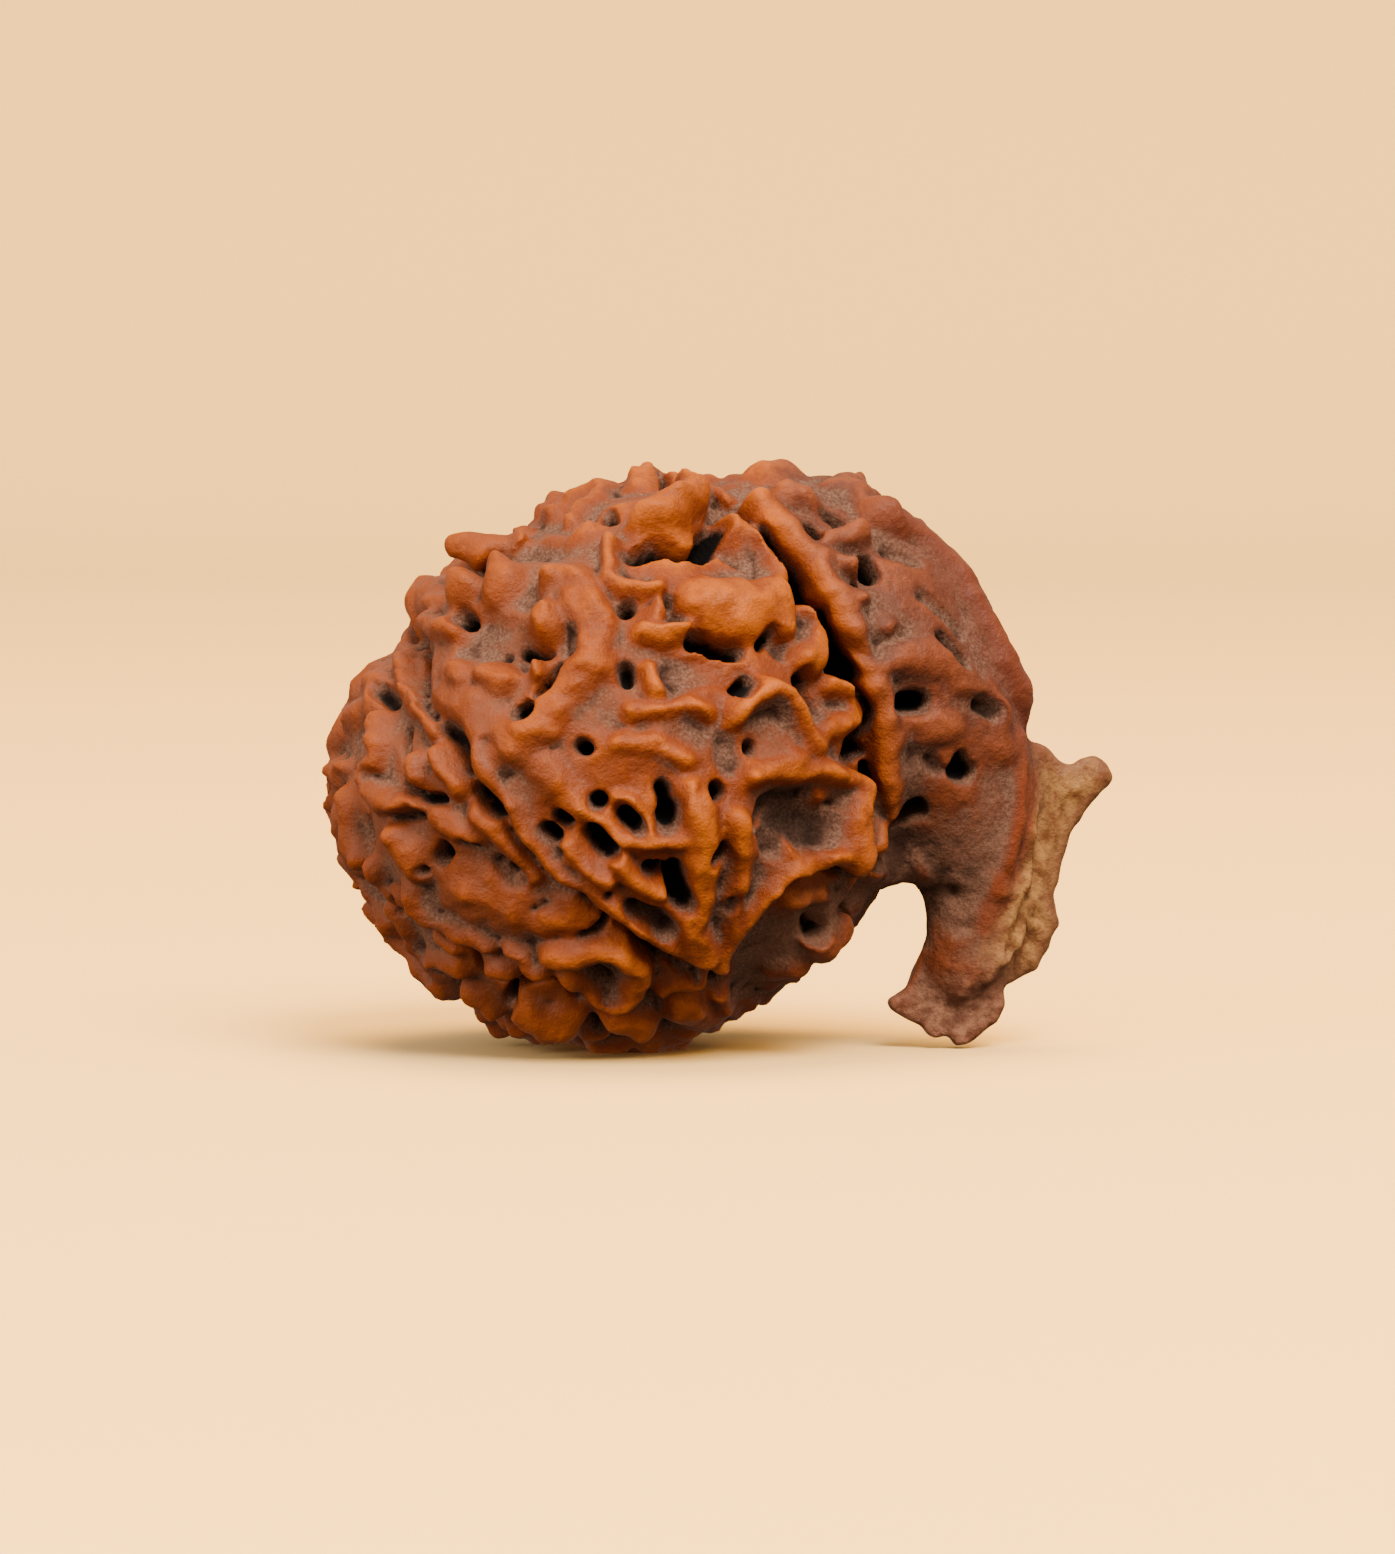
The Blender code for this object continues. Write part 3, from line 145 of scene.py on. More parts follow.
# %% The finger and the lobe
FINGER_LINE = [
    (-3.9, 18.6, 0.5), (-5.2, 18.85, 0.5), (-6.2, 18.9, 0.5), (-6.8, 18.8, 0.44), (-7.1, 18.75, 0.3),
]
LOBE_LINE = [(3.6, 4.1, 0.8), (4.9, 4.6, 1.15), (6.1, 4.9, 1.35), (6.9, 4.65, 1.15), (7.2, 4.05, 0.5)]

# %% [markdown]
# One broad segment faces the front. It stands a little proud of its neighbours, like a plate.

# %% The plate
PLATE_OUTLINE = [
    (-8.6, 17.6), (-8.6, 16.0), (-8.0, 14.9), (-8.0, 13.9), (-7.9, 13.0), (-7.2, 12.3), (-6.5, 11.8),
    (-6.2, 11.2), (-6.1, 10.4), (-5.9, 9.9), (-5.0, 9.2), (-4.8, 8.2), (-4.1, 7.3), (-3.6, 6.6), (-3.1, 6.1),
    (-2.0, 5.7), (-1.1, 5.0), (-0.1, 4.3), (0.9, 3.6), (1.6, 3.2), (2.4, 2.9), (3.2, 2.8), (3.5, 4.0),
    (3.9, 4.5), (4.3, 4.9), (4.8, 5.5), (5.4, 6.1), (6.0, 6.4), (6.5, 6.6), (6.8, 6.85), (7.2, 6.85),
    (7.7, 6.5), (8.1, 6.4), (8.4, 6.8), (8.6, 7.6), (8.5, 8.2), (8.55, 8.8), (8.55, 9.6), (8.4, 10.1),
    (8.0, 10.5), (7.7, 10.8), (7.75, 11.2), (7.9, 11.6), (8.2, 12.0), (8.3, 12.4), (8.1, 13.0), (7.5, 13.6),
    (6.9, 14.0), (6.7, 14.3), (6.9, 15.0), (6.8, 15.7), (6.3, 16.2), (5.5, 16.5), (5.5, 17.2), (5.2, 18.0),
    (4.8, 18.8), (4.2, 19.4), (3.5, 19.7), (2.7, 19.6), (2.6, 20.8), (1.0, 21.3), (-1.5, 20.6), (-3.0, 18.6),
    (-4.5, 18.3), (-5.6, 17.9), (-6.7, 17.7),
]

# %% [markdown]
# ## Strokes
#
# Each stroke is (half width, height, path). A path is a list of points seen from the front. Ridges come
# first: on the shoulder, on the plate, on the trunk's root and on the left segments.

# %% Ridges on the shoulder
SHOULDER_RIDGES = [
    (0.80, 0.4, [(-4.4, 18.7), (-5.4, 18.85), (-6.2, 18.9), (-6.9, 18.8)]),
    (0.50, 0.5, [(-4.5, 18.5)]),
    (0.45, 0.5, [(-6.2, 18.1), (-5.8, 18.2)]),
    (0.55, 0.5, [(-8.4, 16.9), (-8.2, 17.4), (-7.6, 17.8), (-7.0, 17.9)]),
    (0.40, 0.35, [(-8.4, 16.3), (-8.6, 15.8), (-8.6, 15.3)]),
    (0.60, 0.3, [(-7.9, 16.9), (-7.6, 16.6)]),
    (0.40, 0.4, [(-7.9, 15.8), (-7.3, 15.5), (-6.7, 15.4)]),
    (0.58, 0.75, [(-6.5, 17.0), (-6.1, 16.9)]),
    (0.85, 0.85, [(-4.85, 17.3), (-4.8, 17.0)]),
    (0.80, 0.6, [(-3.0, 17.1)]),
    (0.70, 0.7, [(-3.3, 15.9), (-3.3, 15.6)]),
    (0.88, 0.5, [(-2.6, 17.2), (-2.1, 16.8), (-1.8, 16.0), (-1.7, 15.2), (-1.9, 14.2), (-2.6, 13.3),
                  (-3.3, 12.4), (-4.1, 11.6), (-4.6, 11.2)]),
    (0.60, 0.55, [(-6.6, 13.8), (-6.2, 13.7)]),
    (0.60, 0.6, [(-5.3, 13.9), (-5.0, 13.6)]),
    (0.30, 0.4, [(-3.6, 14.1), (-3.5, 13.7)]),
    (1.30, 0.35, [(-6.6, 13.0), (-5.8, 12.2), (-5.2, 11.4)]),
    (0.45, 0.4, [(-2.8, 19.9), (-1.8, 20.7), (-0.9, 21.2)]),
    (0.45, 0.5, [(-3.6, 20.0), (-3.3, 20.1)]),
    (0.40, 0.45, [(-2.3, 20.9), (-1.8, 21.1)]),
    (0.60, 0.25, [(-3.8, 19.3), (-3.0, 18.9), (-2.2, 19.3)]),
]

# %% Ridges on the plate
PLATE_RIDGES = [
    (0.45, 0.3, [(-6.3, 11.4), (-5.8, 10.5), (-5.4, 9.8), (-4.6, 8.8), (-4.1, 7.8), (-3.4, 6.9), (-2.4, 6.1),
                 (-1.2, 5.3), (0.2, 4.4), (1.8, 3.5)]),
    (0.60, 0.3, [(-4.2, 11.0), (-3.2, 10.2), (-2.6, 9.6), (-2.2, 9.0)]),
    (0.30, 0.35, [(-2.1, 8.9), (-1.3, 8.5), (-0.8, 7.9), (-0.7, 7.6)]),
    (0.25, 0.3, [(-0.8, 9.3), (-0.1, 9.2), (0.3, 8.7), (0.5, 8.1)]),
    (0.38, 0.4, [(-0.8, 7.8), (0.3, 7.75), (1.4, 7.8), (2.0, 7.9)]),
    (0.33, 0.35, [(1.8, 9.8), (1.85, 9.0), (2.0, 8.4)]),
    (0.60, 0.6, [(2.3, 9.0), (2.3, 7.8), (2.3, 6.6), (2.05, 5.4), (1.95, 4.6), (2.3, 3.8)]),
    (0.38, 0.4, [(-0.7, 7.0), (-0.3, 6.5), (0.3, 6.15), (0.9, 6.0)]),
    (0.35, 0.4, [(-2.5, 7.6), (-2.1, 7.0), (-1.5, 6.5), (-1.1, 6.3)]),
    (0.48, 0.4, [(3.5, 8.4), (3.8, 7.4), (3.6, 6.2), (3.3, 5.0), (3.1, 4.0)]),
    (0.42, 0.45, [(5.0, 6.0), (5.7, 6.55), (6.5, 6.95), (7.4, 6.9)]),
    (0.55, 0.55, [(3.0, 3.5), (3.6, 4.4), (4.2, 5.1), (4.9, 5.8)]),
    (0.65, 0.6, [(8.0, 9.7), (7.9, 8.6), (7.95, 7.6), (8.1, 6.9)]),
    (0.52, 0.5, [(4.2, 10.1), (5.2, 10.4), (6.3, 10.4), (7.3, 10.2), (8.0, 10.0)]),
    (0.90, 0.3, [(5.3, 11.3), (6.2, 10.9), (7.1, 11.3)]),
    (0.52, 0.55, [(6.9, 13.5), (7.5, 12.9), (7.9, 12.4), (7.3, 12.0), (6.6, 11.8)]),
    (0.52, 0.6, [(3.5, 12.4), (4.0, 12.9), (4.6, 13.2), (5.1, 12.9), (5.5, 12.3), (5.9, 11.7), (6.3, 11.2)]),
    (0.34, 0.5, [(0.45, 14.0), (0.6, 13.2)]),
    (0.42, 0.35, [(-0.2, 12.5), (0.9, 12.5), (1.8, 12.7), (2.4, 12.5)]),
    (0.40, 0.25, [(-0.6, 11.3), (0.6, 11.2), (1.6, 10.8)]),
    (1.15, 0.75, [(2.5, 16.5), (3.2, 16.3), (4.0, 16.1), (4.7, 16.3)]),
    (0.70, 0.6, [(3.2, 19.1), (4.0, 18.8), (4.6, 18.1), (4.9, 17.3), (4.7, 16.7)]),
    (0.42, 0.5, [(0.2, 15.5), (0.9, 15.35), (1.6, 15.5)]),
    (0.62, 0.6, [(5.9, 16.0), (6.4, 15.4), (6.3, 14.7), (5.9, 14.2)]),
    (0.36, 0.5, [(-1.1, 18.8), (-1.1, 18.0), (-1.0, 17.4), (-0.5, 16.95), (0.2, 16.8), (0.8, 16.9)]),
    (0.35, 0.3, [(0.8, 17.1), (0.8, 16.4), (0.6, 15.9)]),
    (0.66, 0.9, [(0.3, 19.45), (1.1, 19.7), (1.8, 20.1)]),
    (0.50, 0.6, [(1.8, 20.1), (2.0, 20.7), (1.8, 21.1)]),
    (0.36, 0.45, [(0.3, 21.5), (0.9, 21.8), (1.4, 21.6), (1.8, 21.2)]),
    (0.34, 0.35, [(2.3, 20.9), (2.9, 20.8), (3.2, 20.5)]),
]

# %% Ridges on the trunk's root
ROOT_RIDGES = [
    (0.68, 0.75, [(4.4, 20.0), (5.1, 19.4), (5.8, 18.8), (6.5, 18.0), (7.0, 17.2), (7.5, 16.3),
                  (7.9, 15.5)]),
    (0.60, 0.6, [(7.9, 15.5), (8.2, 14.7), (8.6, 13.9), (8.9, 13.1), (9.1, 12.0), (9.2, 10.8), (9.2, 9.6),
                 (9.1, 8.6), (9.0, 7.8)]),
    (0.45, 0.6, [(6.9, 19.0), (7.6, 19.15), (8.2, 19.35)]),
    (0.38, 0.55, [(6.9, 18.3), (7.5, 18.1), (7.9, 17.95)]),
    (0.40, 0.55, [(7.6, 17.0), (8.2, 16.8)]),
    (0.60, 0.45, [(5.3, 20.7), (6.1, 20.6)]),
    (0.70, 0.45, [(6.9, 21.4), (7.9, 21.2), (8.4, 20.7)]),
    (0.70, 0.3, [(2.4, 21.6), (3.6, 21.5), (5.0, 21.5), (6.0, 21.5)]),
    (0.75, 0.65, [(9.0, 20.1), (10.4, 19.5), (11.6, 18.5), (12.6, 17.3), (13.3, 16.0), (13.9, 14.5),
                  (14.5, 13.0)]),
    (0.45, 0.3, [(8.4, 15.6), (9.1, 15.7)]),
    (0.70, 0.4, [(9.3, 14.4), (10.4, 14.6), (11.4, 14.4), (12.3, 13.8)]),
    (0.60, 0.3, [(9.4, 11.8), (10.6, 11.7), (11.6, 11.9)]),
    (0.50, 0.3, [(12.2, 13.6), (13.2, 13.4), (13.7, 12.3), (13.9, 11.0)]),
    (0.50, 0.35, [(14.4, 11.5), (14.5, 10.0), (14.3, 8.6), (14.0, 7.2), (13.5, 6.0), (12.9, 5.0)]),
    (0.32, 0.25, [(6.4, 3.75), (6.9, 3.6), (7.4, 3.75)]),
    (0.45, 0.3, [(5.9, 5.4), (6.7, 5.6), (7.4, 5.4)]),
    (0.40, 0.25, [(7.6, 5.4), (8.0, 5.9)]),
    (0.22, 0.12, [(11.4, 6.2), (12.0, 5.8), (12.6, 5.9)]),
    (0.22, 0.12, [(11.2, 5.0), (11.8, 4.9), (12.3, 5.1)]),
    (0.25, 0.12, [(11.2, 4.1), (11.8, 3.9), (12.4, 4.2)]),
    (0.25, 0.12, [(11.2, 3.1), (11.9, 2.9), (12.5, 3.2)]),
    (0.28, 0.25, [(13.1, 4.6), (12.9, 3.6), (12.5, 2.6), (12.0, 1.7)]),
    (0.24, 0.5, [(15.0, 10.9), (15.0, 9.4), (14.8, 8.0), (14.6, 6.6), (14.2, 5.2), (13.7, 3.8),
                 (13.2, 2.4)]),
    (0.24, 0.5, [(15.9, 10.2), (15.6, 9.0), (15.4, 7.8), (15.1, 6.6), (14.8, 5.4), (14.3, 4.2),
                 (13.8, 3.0)]),
    (0.30, 0.5, [(15.9, 9.5), (16.7, 9.9), (17.4, 10.2)]),
    (0.22, 0.4, [(15.0, 5.4), (15.5, 4.9)]),
    (0.22, 0.4, [(14.6, 4.7), (15.2, 4.0)]),
    (0.22, 0.4, [(14.1, 3.9), (14.7, 3.2)]),
]

# %% Ridges on the left segments
LEFT_RIDGES = [
    (0.42, 0.5, [(-8.8, 15.2), (-8.9, 14.4), (-8.8, 13.6), (-8.5, 13.1), (-7.9, 12.5), (-7.5, 11.9)]),
    (0.42, 0.45, [(-7.3, 11.0), (-7.1, 10.3), (-6.7, 9.7)]),
    (0.50, 0.5, [(-9.5, 14.3), (-10.3, 13.7), (-10.7, 13.2)]),
    (0.50, 0.45, [(-10.9, 12.8), (-11.0, 12.2)]),
    (0.50, 0.55, [(-9.7, 12.3), (-9.7, 11.4), (-9.8, 10.7), (-10.3, 10.3)]),
    (0.45, 0.5, [(-10.2, 9.9), (-9.6, 9.3), (-8.9, 9.1), (-8.3, 9.2)]),
    (0.42, 0.5, [(-8.3, 10.8), (-8.2, 10.1)]),
    (0.55, 0.4, [(-7.5, 8.6), (-6.9, 8.3), (-6.3, 7.8)]),
    (0.42, 0.35, [(-6.0, 8.7), (-5.4, 8.2), (-5.0, 7.5), (-4.6, 6.9), (-4.1, 6.3)]),
    (0.70, 0.6, [(-9.0, 7.9), (-8.6, 7.3), (-8.3, 6.7)]),
    (1.50, 0.35, [(-6.4, 5.6), (-5.4, 5.2)]),
    (0.45, 0.3, [(-6.8, 5.9), (-6.4, 5.6)]),
    (0.90, 0.3, [(-3.6, 4.7), (-2.7, 4.6)]),
    (0.50, 0.45, [(-8.4, 5.8), (-8.2, 5.2), (-7.6, 4.7), (-6.9, 4.4), (-6.2, 4.1), (-5.7, 3.8)]),
    (0.45, 0.5, [(-5.3, 2.9), (-4.9, 2.8)]),
    (0.40, 0.5, [(-4.9, 3.7), (-4.4, 3.4), (-4.0, 2.9), (-3.5, 2.8)]),
    (0.60, 0.65, [(-3.2, 3.5), (-2.4, 3.4), (-1.5, 3.6), (-0.7, 3.5), (-0.1, 3.0), (0.0, 2.5), (-0.3, 2.0),
                  (-0.9, 1.7)]),
    (0.42, 0.45, [(-2.7, 2.6), (-2.0, 2.2), (-1.4, 1.7)]),
    (0.50, 0.55, [(1.0, 2.1), (1.5, 2.3), (2.2, 2.4)]),
    (1.00, 0.8, [(-4.0, 1.4), (-3.4, 1.1), (-2.8, 1.0)]),
    (0.85, 0.8, [(-0.6, 1.0), (0.1, 0.9)]),
    (0.85, 0.7, [(1.7, 1.5), (2.2, 1.1)]),
    (0.65, 0.6, [(-6.1, 2.0), (-5.6, 1.6)]),
    (0.45, 0.6, [(3.0, 1.9), (3.6, 1.4)]),
    (0.70, 0.5, [(5.3, 2.9), (4.6, 1.9)]),
    (0.42, 0.5, [(-11.2, 10.5), (-11.4, 10.0)]),
    (0.55, 0.55, [(-11.2, 9.3), (-11.1, 8.4), (-10.9, 7.6), (-10.6, 6.9)]),
    (0.55, 0.45, [(-10.0, 6.8), (-9.8, 6.2), (-9.4, 5.7), (-9.0, 5.5)]),
    (0.50, 0.45, [(-9.4, 4.9), (-8.9, 4.2), (-8.5, 3.6), (-8.0, 3.2), (-7.3, 3.1), (-6.7, 2.9)]),
    (0.40, 0.3, [(-7.5, 3.9), (-7.0, 3.6)]),
]

# %% [markdown]
# Pits, furrows and hollows use the same form, and their height is a depth.

# %% Pits on the plate
SHOULDER_PITS = [
    (0.36, 2.0, [(-6.55, 16.05), (-6.35, 15.8)]),
    (0.30, 1.0, [(-5.15, 14.7)]),
    (0.26, 1.5, [(-4.4, 15.1), (-3.9, 14.95), (-3.4, 14.7)]),
    (0.42, 2.0, [(-4.3, 12.4), (-4.0, 12.6)]),
    (0.25, 1.3, [(-3.6, 13.1), (-3.2, 13.6), (-2.9, 14.1)]),
    (0.22, 0.8, [(-7.7, 16.05)]),
    (0.35, 0.5, [(-2.5, 15.4), (-2.5, 14.7)]),
    (1.20, 0.6, [(-5.7, 15.3), (-4.7, 14.8)]),
]
PLATE_PITS = [
    (0.46, 2.3, [(-0.2, 18.45), (0.5, 18.6), (1.4, 18.5)]),
    (0.48, 2.1, [(1.4, 18.4), (2.1, 18.4), (2.6, 18.7), (2.8, 19.2)]),
    (0.27, 1.4, [(-1.2, 20.15), (-1.05, 19.85)]),
    (0.22, 1.3, [(0.85, 21.4), (1.25, 20.9)]),
    (0.20, 0.8, [(2.7, 20.45)]),
    (0.16, 0.8, [(2.8, 19.9), (3.3, 19.85)]),
    (0.35, 1.8, [(-0.45, 16.35)]),
    (0.38, 2.0, [(2.0, 15.15), (2.4, 15.1), (2.9, 14.85), (3.6, 14.75)]),
    (0.27, 1.5, [(4.4, 14.95), (4.65, 15.15)]),
    (0.50, 0.4, [(5.1, 14.7)]),
    (0.33, 1.6, [(4.0, 13.5), (3.6, 13.1)]),
    (0.40, 1.7, [(5.85, 13.6), (6.1, 13.4)]),
    (0.42, 0.8, [(6.2, 13.0), (6.4, 12.6)]),
    (0.30, 1.5, [(4.05, 11.2)]),
    (0.60, 0.3, [(3.2, 11.2), (3.3, 10.6)]),
    (0.44, 1.1, [(-0.5, 14.1), (-0.45, 13.8)]),
    (0.37, 1.9, [(-2.1, 11.25), (-1.95, 11.25)]),
    (0.38, 1.9, [(-1.45, 9.25)]),
    (0.42, 1.9, [(-0.35, 8.6), (-0.1, 8.4)]),
    (0.42, 1.9, [(1.0, 8.9), (1.1, 8.5)]),
    (0.28, 1.2, [(0.9, 9.7), (0.9, 9.2)]),
    (0.36, 1.7, [(2.85, 9.5)]),
    (0.31, 1.6, [(2.95, 7.6), (2.85, 7.3)]),
    (0.37, 1.8, [(-2.85, 8.6), (-2.7, 8.5)]),
    (0.38, 1.8, [(-3.4, 8.1), (-3.1, 7.8)]),
    (0.33, 1.8, [(-1.7, 8.2), (-1.4, 7.7), (-1.0, 7.3)]),
    (0.29, 1.7, [(0.4, 6.7), (0.7, 6.7)]),
    (0.42, 1.9, [(1.35, 6.7), (1.45, 6.1), (1.5, 5.7)]),
    (0.19, 1.0, [(-1.08, 5.75)]),
    (0.45, 0.8, [(-0.1, 5.3), (0.6, 5.0), (1.0, 4.5)]),
    (1.15, 0.85, [(5.6, 8.6), (6.3, 8.4), (6.6, 8.2)]),
    (0.42, 0.7, [(4.8, 7.9), (4.9, 7.3), (5.4, 7.4)]),
    (0.32, 0.8, [(4.45, 8.4), (4.7, 9.1), (5.3, 9.6), (6.3, 9.5)]),
    (0.24, 0.6, [(7.0, 9.1), (7.3, 9.1)]),
    (0.25, 0.5, [(3.2, 5.4), (3.4, 5.7)]),
    (0.42, 0.5, [(3.2, 18.6), (3.5, 18.2)]),
    (0.32, 0.6, [(1.2, 16.6), (1.45, 15.9)]),
    (0.70, 0.35, [(1.4, 13.9), (2.6, 14.0), (3.4, 13.9)]),
    (0.35, 0.5, [(-2.9, 7.3)]),
    (0.35, 0.4, [(-5.3, 11.2), (-4.8, 10.3)]),
]

# %% Pits on the trunk's root
ROOT_PITS = [
    (0.22, 1.3, [(4.6, 19.1), (5.0, 18.6), (5.4, 17.9), (5.7, 17.2), (6.0, 16.7), (6.7, 16.2), (7.1, 15.5),
                 (7.2, 14.8)]),
    (0.36, 1.8, [(5.5, 17.4), (5.8, 16.8)]),
    (0.38, 1.8, [(7.15, 14.7), (7.4, 14.2), (7.8, 13.8)]),
    (0.18, 1.2, [(7.8, 13.7), (8.3, 13.1), (8.5, 12.5), (8.4, 11.9), (8.2, 11.4)]),
    (0.32, 1.6, [(8.05, 11.3), (8.2, 10.9)]),
    (0.18, 1.2, [(8.5, 10.4), (8.7, 9.6), (8.7, 8.6), (8.75, 7.8)]),
    (0.38, 1.3, [(7.1, 20.2), (7.6, 19.85)]),
    (0.35, 1.5, [(6.3, 19.5), (6.45, 19.2)]),
    (0.40, 1.9, [(8.5, 18.4), (8.6, 17.8)]),
    (0.23, 1.2, [(8.1, 17.4)]),
    (0.55, 2.0, [(9.8, 12.75), (10.4, 12.75)]),
    (0.42, 1.8, [(12.1, 10.6), (11.9, 10.2), (12.4, 10.15)]),
    (0.28, 0.9, [(11.3, 15.3), (11.8, 14.9), (12.3, 14.4)]),
    (0.40, 0.8, [(12.9, 12.8), (13.3, 12.5)]),
    (0.45, 1.0, [(9.6, 8.3), (10.4, 8.6)]),
    (0.30, 0.5, [(10.9, 10.6), (11.1, 10.2)]),
    (0.35, 0.5, [(10.8, 17.0), (11.6, 16.3), (12.3, 15.6)]),
    (0.35, 0.4, [(9.4, 18.8), (10.5, 18.4)]),
    (0.28, 1.2, [(5.0, 5.6), (5.6, 6.0), (6.4, 6.25), (7.0, 6.5), (7.7, 6.2)]),
    (0.34, 1.1, [(8.7, 6.7), (9.4, 6.8)]),
    (0.56, 1.7, [(6.55, 4.45), (6.85, 4.55)]),
    (0.25, 0.7, [(6.95, 4.7), (7.1, 5.0)]),
    (0.20, 0.6, [(7.9, 4.6), (7.7, 5.1)]),
    (0.25, 0.4, [(12.1, 4.5)]),
    (0.30, 0.5, [(11.3, 5.6)]),
    (0.20, 0.4, [(13.0, 2.0)]),
]

# %% Pits on the left segments
LEFT_PITS = [
    (0.18, 0.7, [(-8.4, 15.4), (-8.2, 14.6), (-8.2, 13.7), (-8.0, 13.0), (-7.4, 12.3)]),
    (0.34, 1.0, [(-7.1, 12.0), (-6.7, 11.6), (-6.4, 11.0), (-6.3, 10.5)]),
    (0.16, 0.6, [(-6.1, 10.2), (-5.0, 8.9), (-4.8, 8.1), (-4.2, 7.3), (-3.7, 6.6), (-3.1, 6.1),
                 (-2.1, 5.7)]),
    (0.20, 0.8, [(-2.1, 5.5), (-1.2, 4.9), (-0.3, 4.2), (0.6, 3.4), (1.2, 3.0), (2.2, 2.6)]),
    (0.36, 1.9, [(-5.9, 9.6), (-5.6, 9.2), (-5.2, 8.8)]),
    (0.20, 0.7, [(-4.3, 7.3), (-3.9, 6.9)]),
    (0.22, 1.2, [(-8.8, 10.0), (-8.5, 9.6), (-8.0, 9.3), (-7.4, 9.2)]),
    (0.28, 0.5, [(-8.8, 12.0), (-8.8, 10.9)]),
    (0.28, 0.7, [(-9.1, 8.6), (-8.3, 8.7)]),
    (0.34, 1.6, [(-7.3, 7.3), (-7.5, 6.9)]),
    (0.24, 1.1, [(-8.0, 6.6)]),
    (0.24, 0.6, [(-6.5, 7.6), (-6.2, 7.4)]),
    (0.14, 0.6, [(-6.1, 6.4)]),
    (0.28, 1.6, [(-4.85, 6.45)]),
    (0.50, 0.4, [(-5.2, 6.6), (-4.6, 6.2)]),
    (0.17, 1.1, [(-3.95, 5.05), (-3.5, 5.3)]),
    (0.20, 1.2, [(-2.1, 4.1), (-1.5, 4.2), (-1.1, 4.7)]),
    (0.28, 1.2, [(0.0, 3.9), (0.6, 3.3), (0.9, 2.9)]),
    (0.32, 0.9, [(-1.6, 2.6), (-1.1, 2.3)]),
    (0.20, 0.5, [(-4.4, 3.3)]),
    (0.28, 1.3, [(-6.1, 3.1), (-5.7, 2.4), (-4.9, 2.2), (-4.2, 2.3), (-3.3, 2.5), (-2.7, 2.1), (-2.2, 1.6)]),
    (0.26, 1.1, [(-5.0, 1.6), (-4.7, 1.9)]),
    (0.40, 1.0, [(-1.7, 0.9), (-1.6, 0.4)]),
    (0.40, 1.2, [(2.7, 2.4), (3.2, 2.2)]),
    (0.20, 0.9, [(-11.0, 10.5), (-10.9, 9.8), (-10.5, 8.9), (-10.3, 8.0), (-10.2, 7.2)]),
    (0.20, 0.8, [(-9.1, 5.6), (-8.7, 5.0), (-7.9, 4.4), (-6.9, 3.9), (-6.3, 3.4)]),
    (0.38, 1.0, [(-9.7, 13.4), (-9.3, 13.1)]),
    (0.22, 1.2, [(-9.15, 4.8)]),
    (0.28, 0.6, [(-10.6, 8.3), (-10.5, 7.9)]),
]
print("front ridges:", len(SHOULDER_RIDGES + PLATE_RIDGES + ROOT_RIDGES + LEFT_RIDGES))
print("front pits:", len(SHOULDER_PITS + PLATE_PITS + ROOT_PITS + LEFT_PITS))

# %% [markdown]
# The far side isn't placed by hand. Furrows run from pole to pole, as they do between the segments of a
# real stone. Each has a raised lip on both sides.

# %% Furrows of the far side
POLE = Vector((-0.355, 0.564, 0.745))
FAR_FURROWS_DEG = (70.0, 118.0, 166.0, 214.0)
FURROW = (0.34, 1.2)
FURROW_LIP = (0.55, 0.55)
LIP_OFFSET_DEG = 5.5

# %% [markdown]
# Short ridges and pits are spread between the furrows by a seeded rule, so they fall the same way each time.
# A least spacing keeps them from piling up.

# %% Ridges and pits of the far side
SEED = 8
RESTING_KNOB = 1.5
FAR_RIDGES = 270
FAR_RIDGE_SPACING = 1.05
FAR_RIDGE_HALF = (0.5, 0.9)
FAR_RIDGE_HEIGHT = (0.3, 0.65)
FAR_PITS = 60
FAR_PIT_SPACING = 2.0
FAR_PIT_HALF = (0.25, 0.45)
FAR_PIT_DEPTH = (0.8, 1.6)
FAR_AWAY = 40.0
THIN = 3.0
TOUCH = 0.02
TINY = 1e-12

# %% [markdown]
# The trunk, its tip and the frill are smoother than the body. These numbers say how much the relief is
# calmed there, and where that begins.

# %% Where the relief is calm
TRUNK_TIP = (9.6, 8.0)
FOOT_START = 8.2
TIP_CALM = 0.6
TRUNK_CALM = 0.35
RIM_HALF_WIDTH = 1.8
FRILL_CALM = 0.8

# %% [markdown]
# The section of a ridge is a round core with a wide soft foot. Smooth noise makes strokes stray from their
# paths and swell along their length, so that they look grown.

# %% The section of the strokes
RIDGE_FOOT = 1.7
RIDGE_CORE = 0.68
RIDGE_WIDTH = 1.1
BLEND = 3.4
BEADING = 0.22
BEAD_LENGTH = 1.0
RIDGE_GAIN = 1.4
PIT_GAIN = 1.0
HOLLOW = 0.25
EDGE_LIFT = 0.35
SWELLS = [(4.5, 0.3), (1.6, 0.22)]
KNOBS = [(1.0, 0.3), (0.6, 0.08)]
STROKE_STRAY = 0.18
STROKE_STRAY_LENGTH = 1.1
GRAIN = [(0.4, 0.05), (0.2, 0.02)]

# %% [markdown]
# ## Helpers for meshes
#
# Curves and modifiers make the first shapes, and their result is then kept as a plain mesh. Numpy reads all
# the vertices in one go, which is much quicker than a loop over them.

# %% Keeping and reading meshes
scene_collection = bpy.context.scene.collection


def mesh_object(name, mesh, collection):
    made = bpy.data.objects.new(name, mesh)
    collection.objects.link(made)
    return made


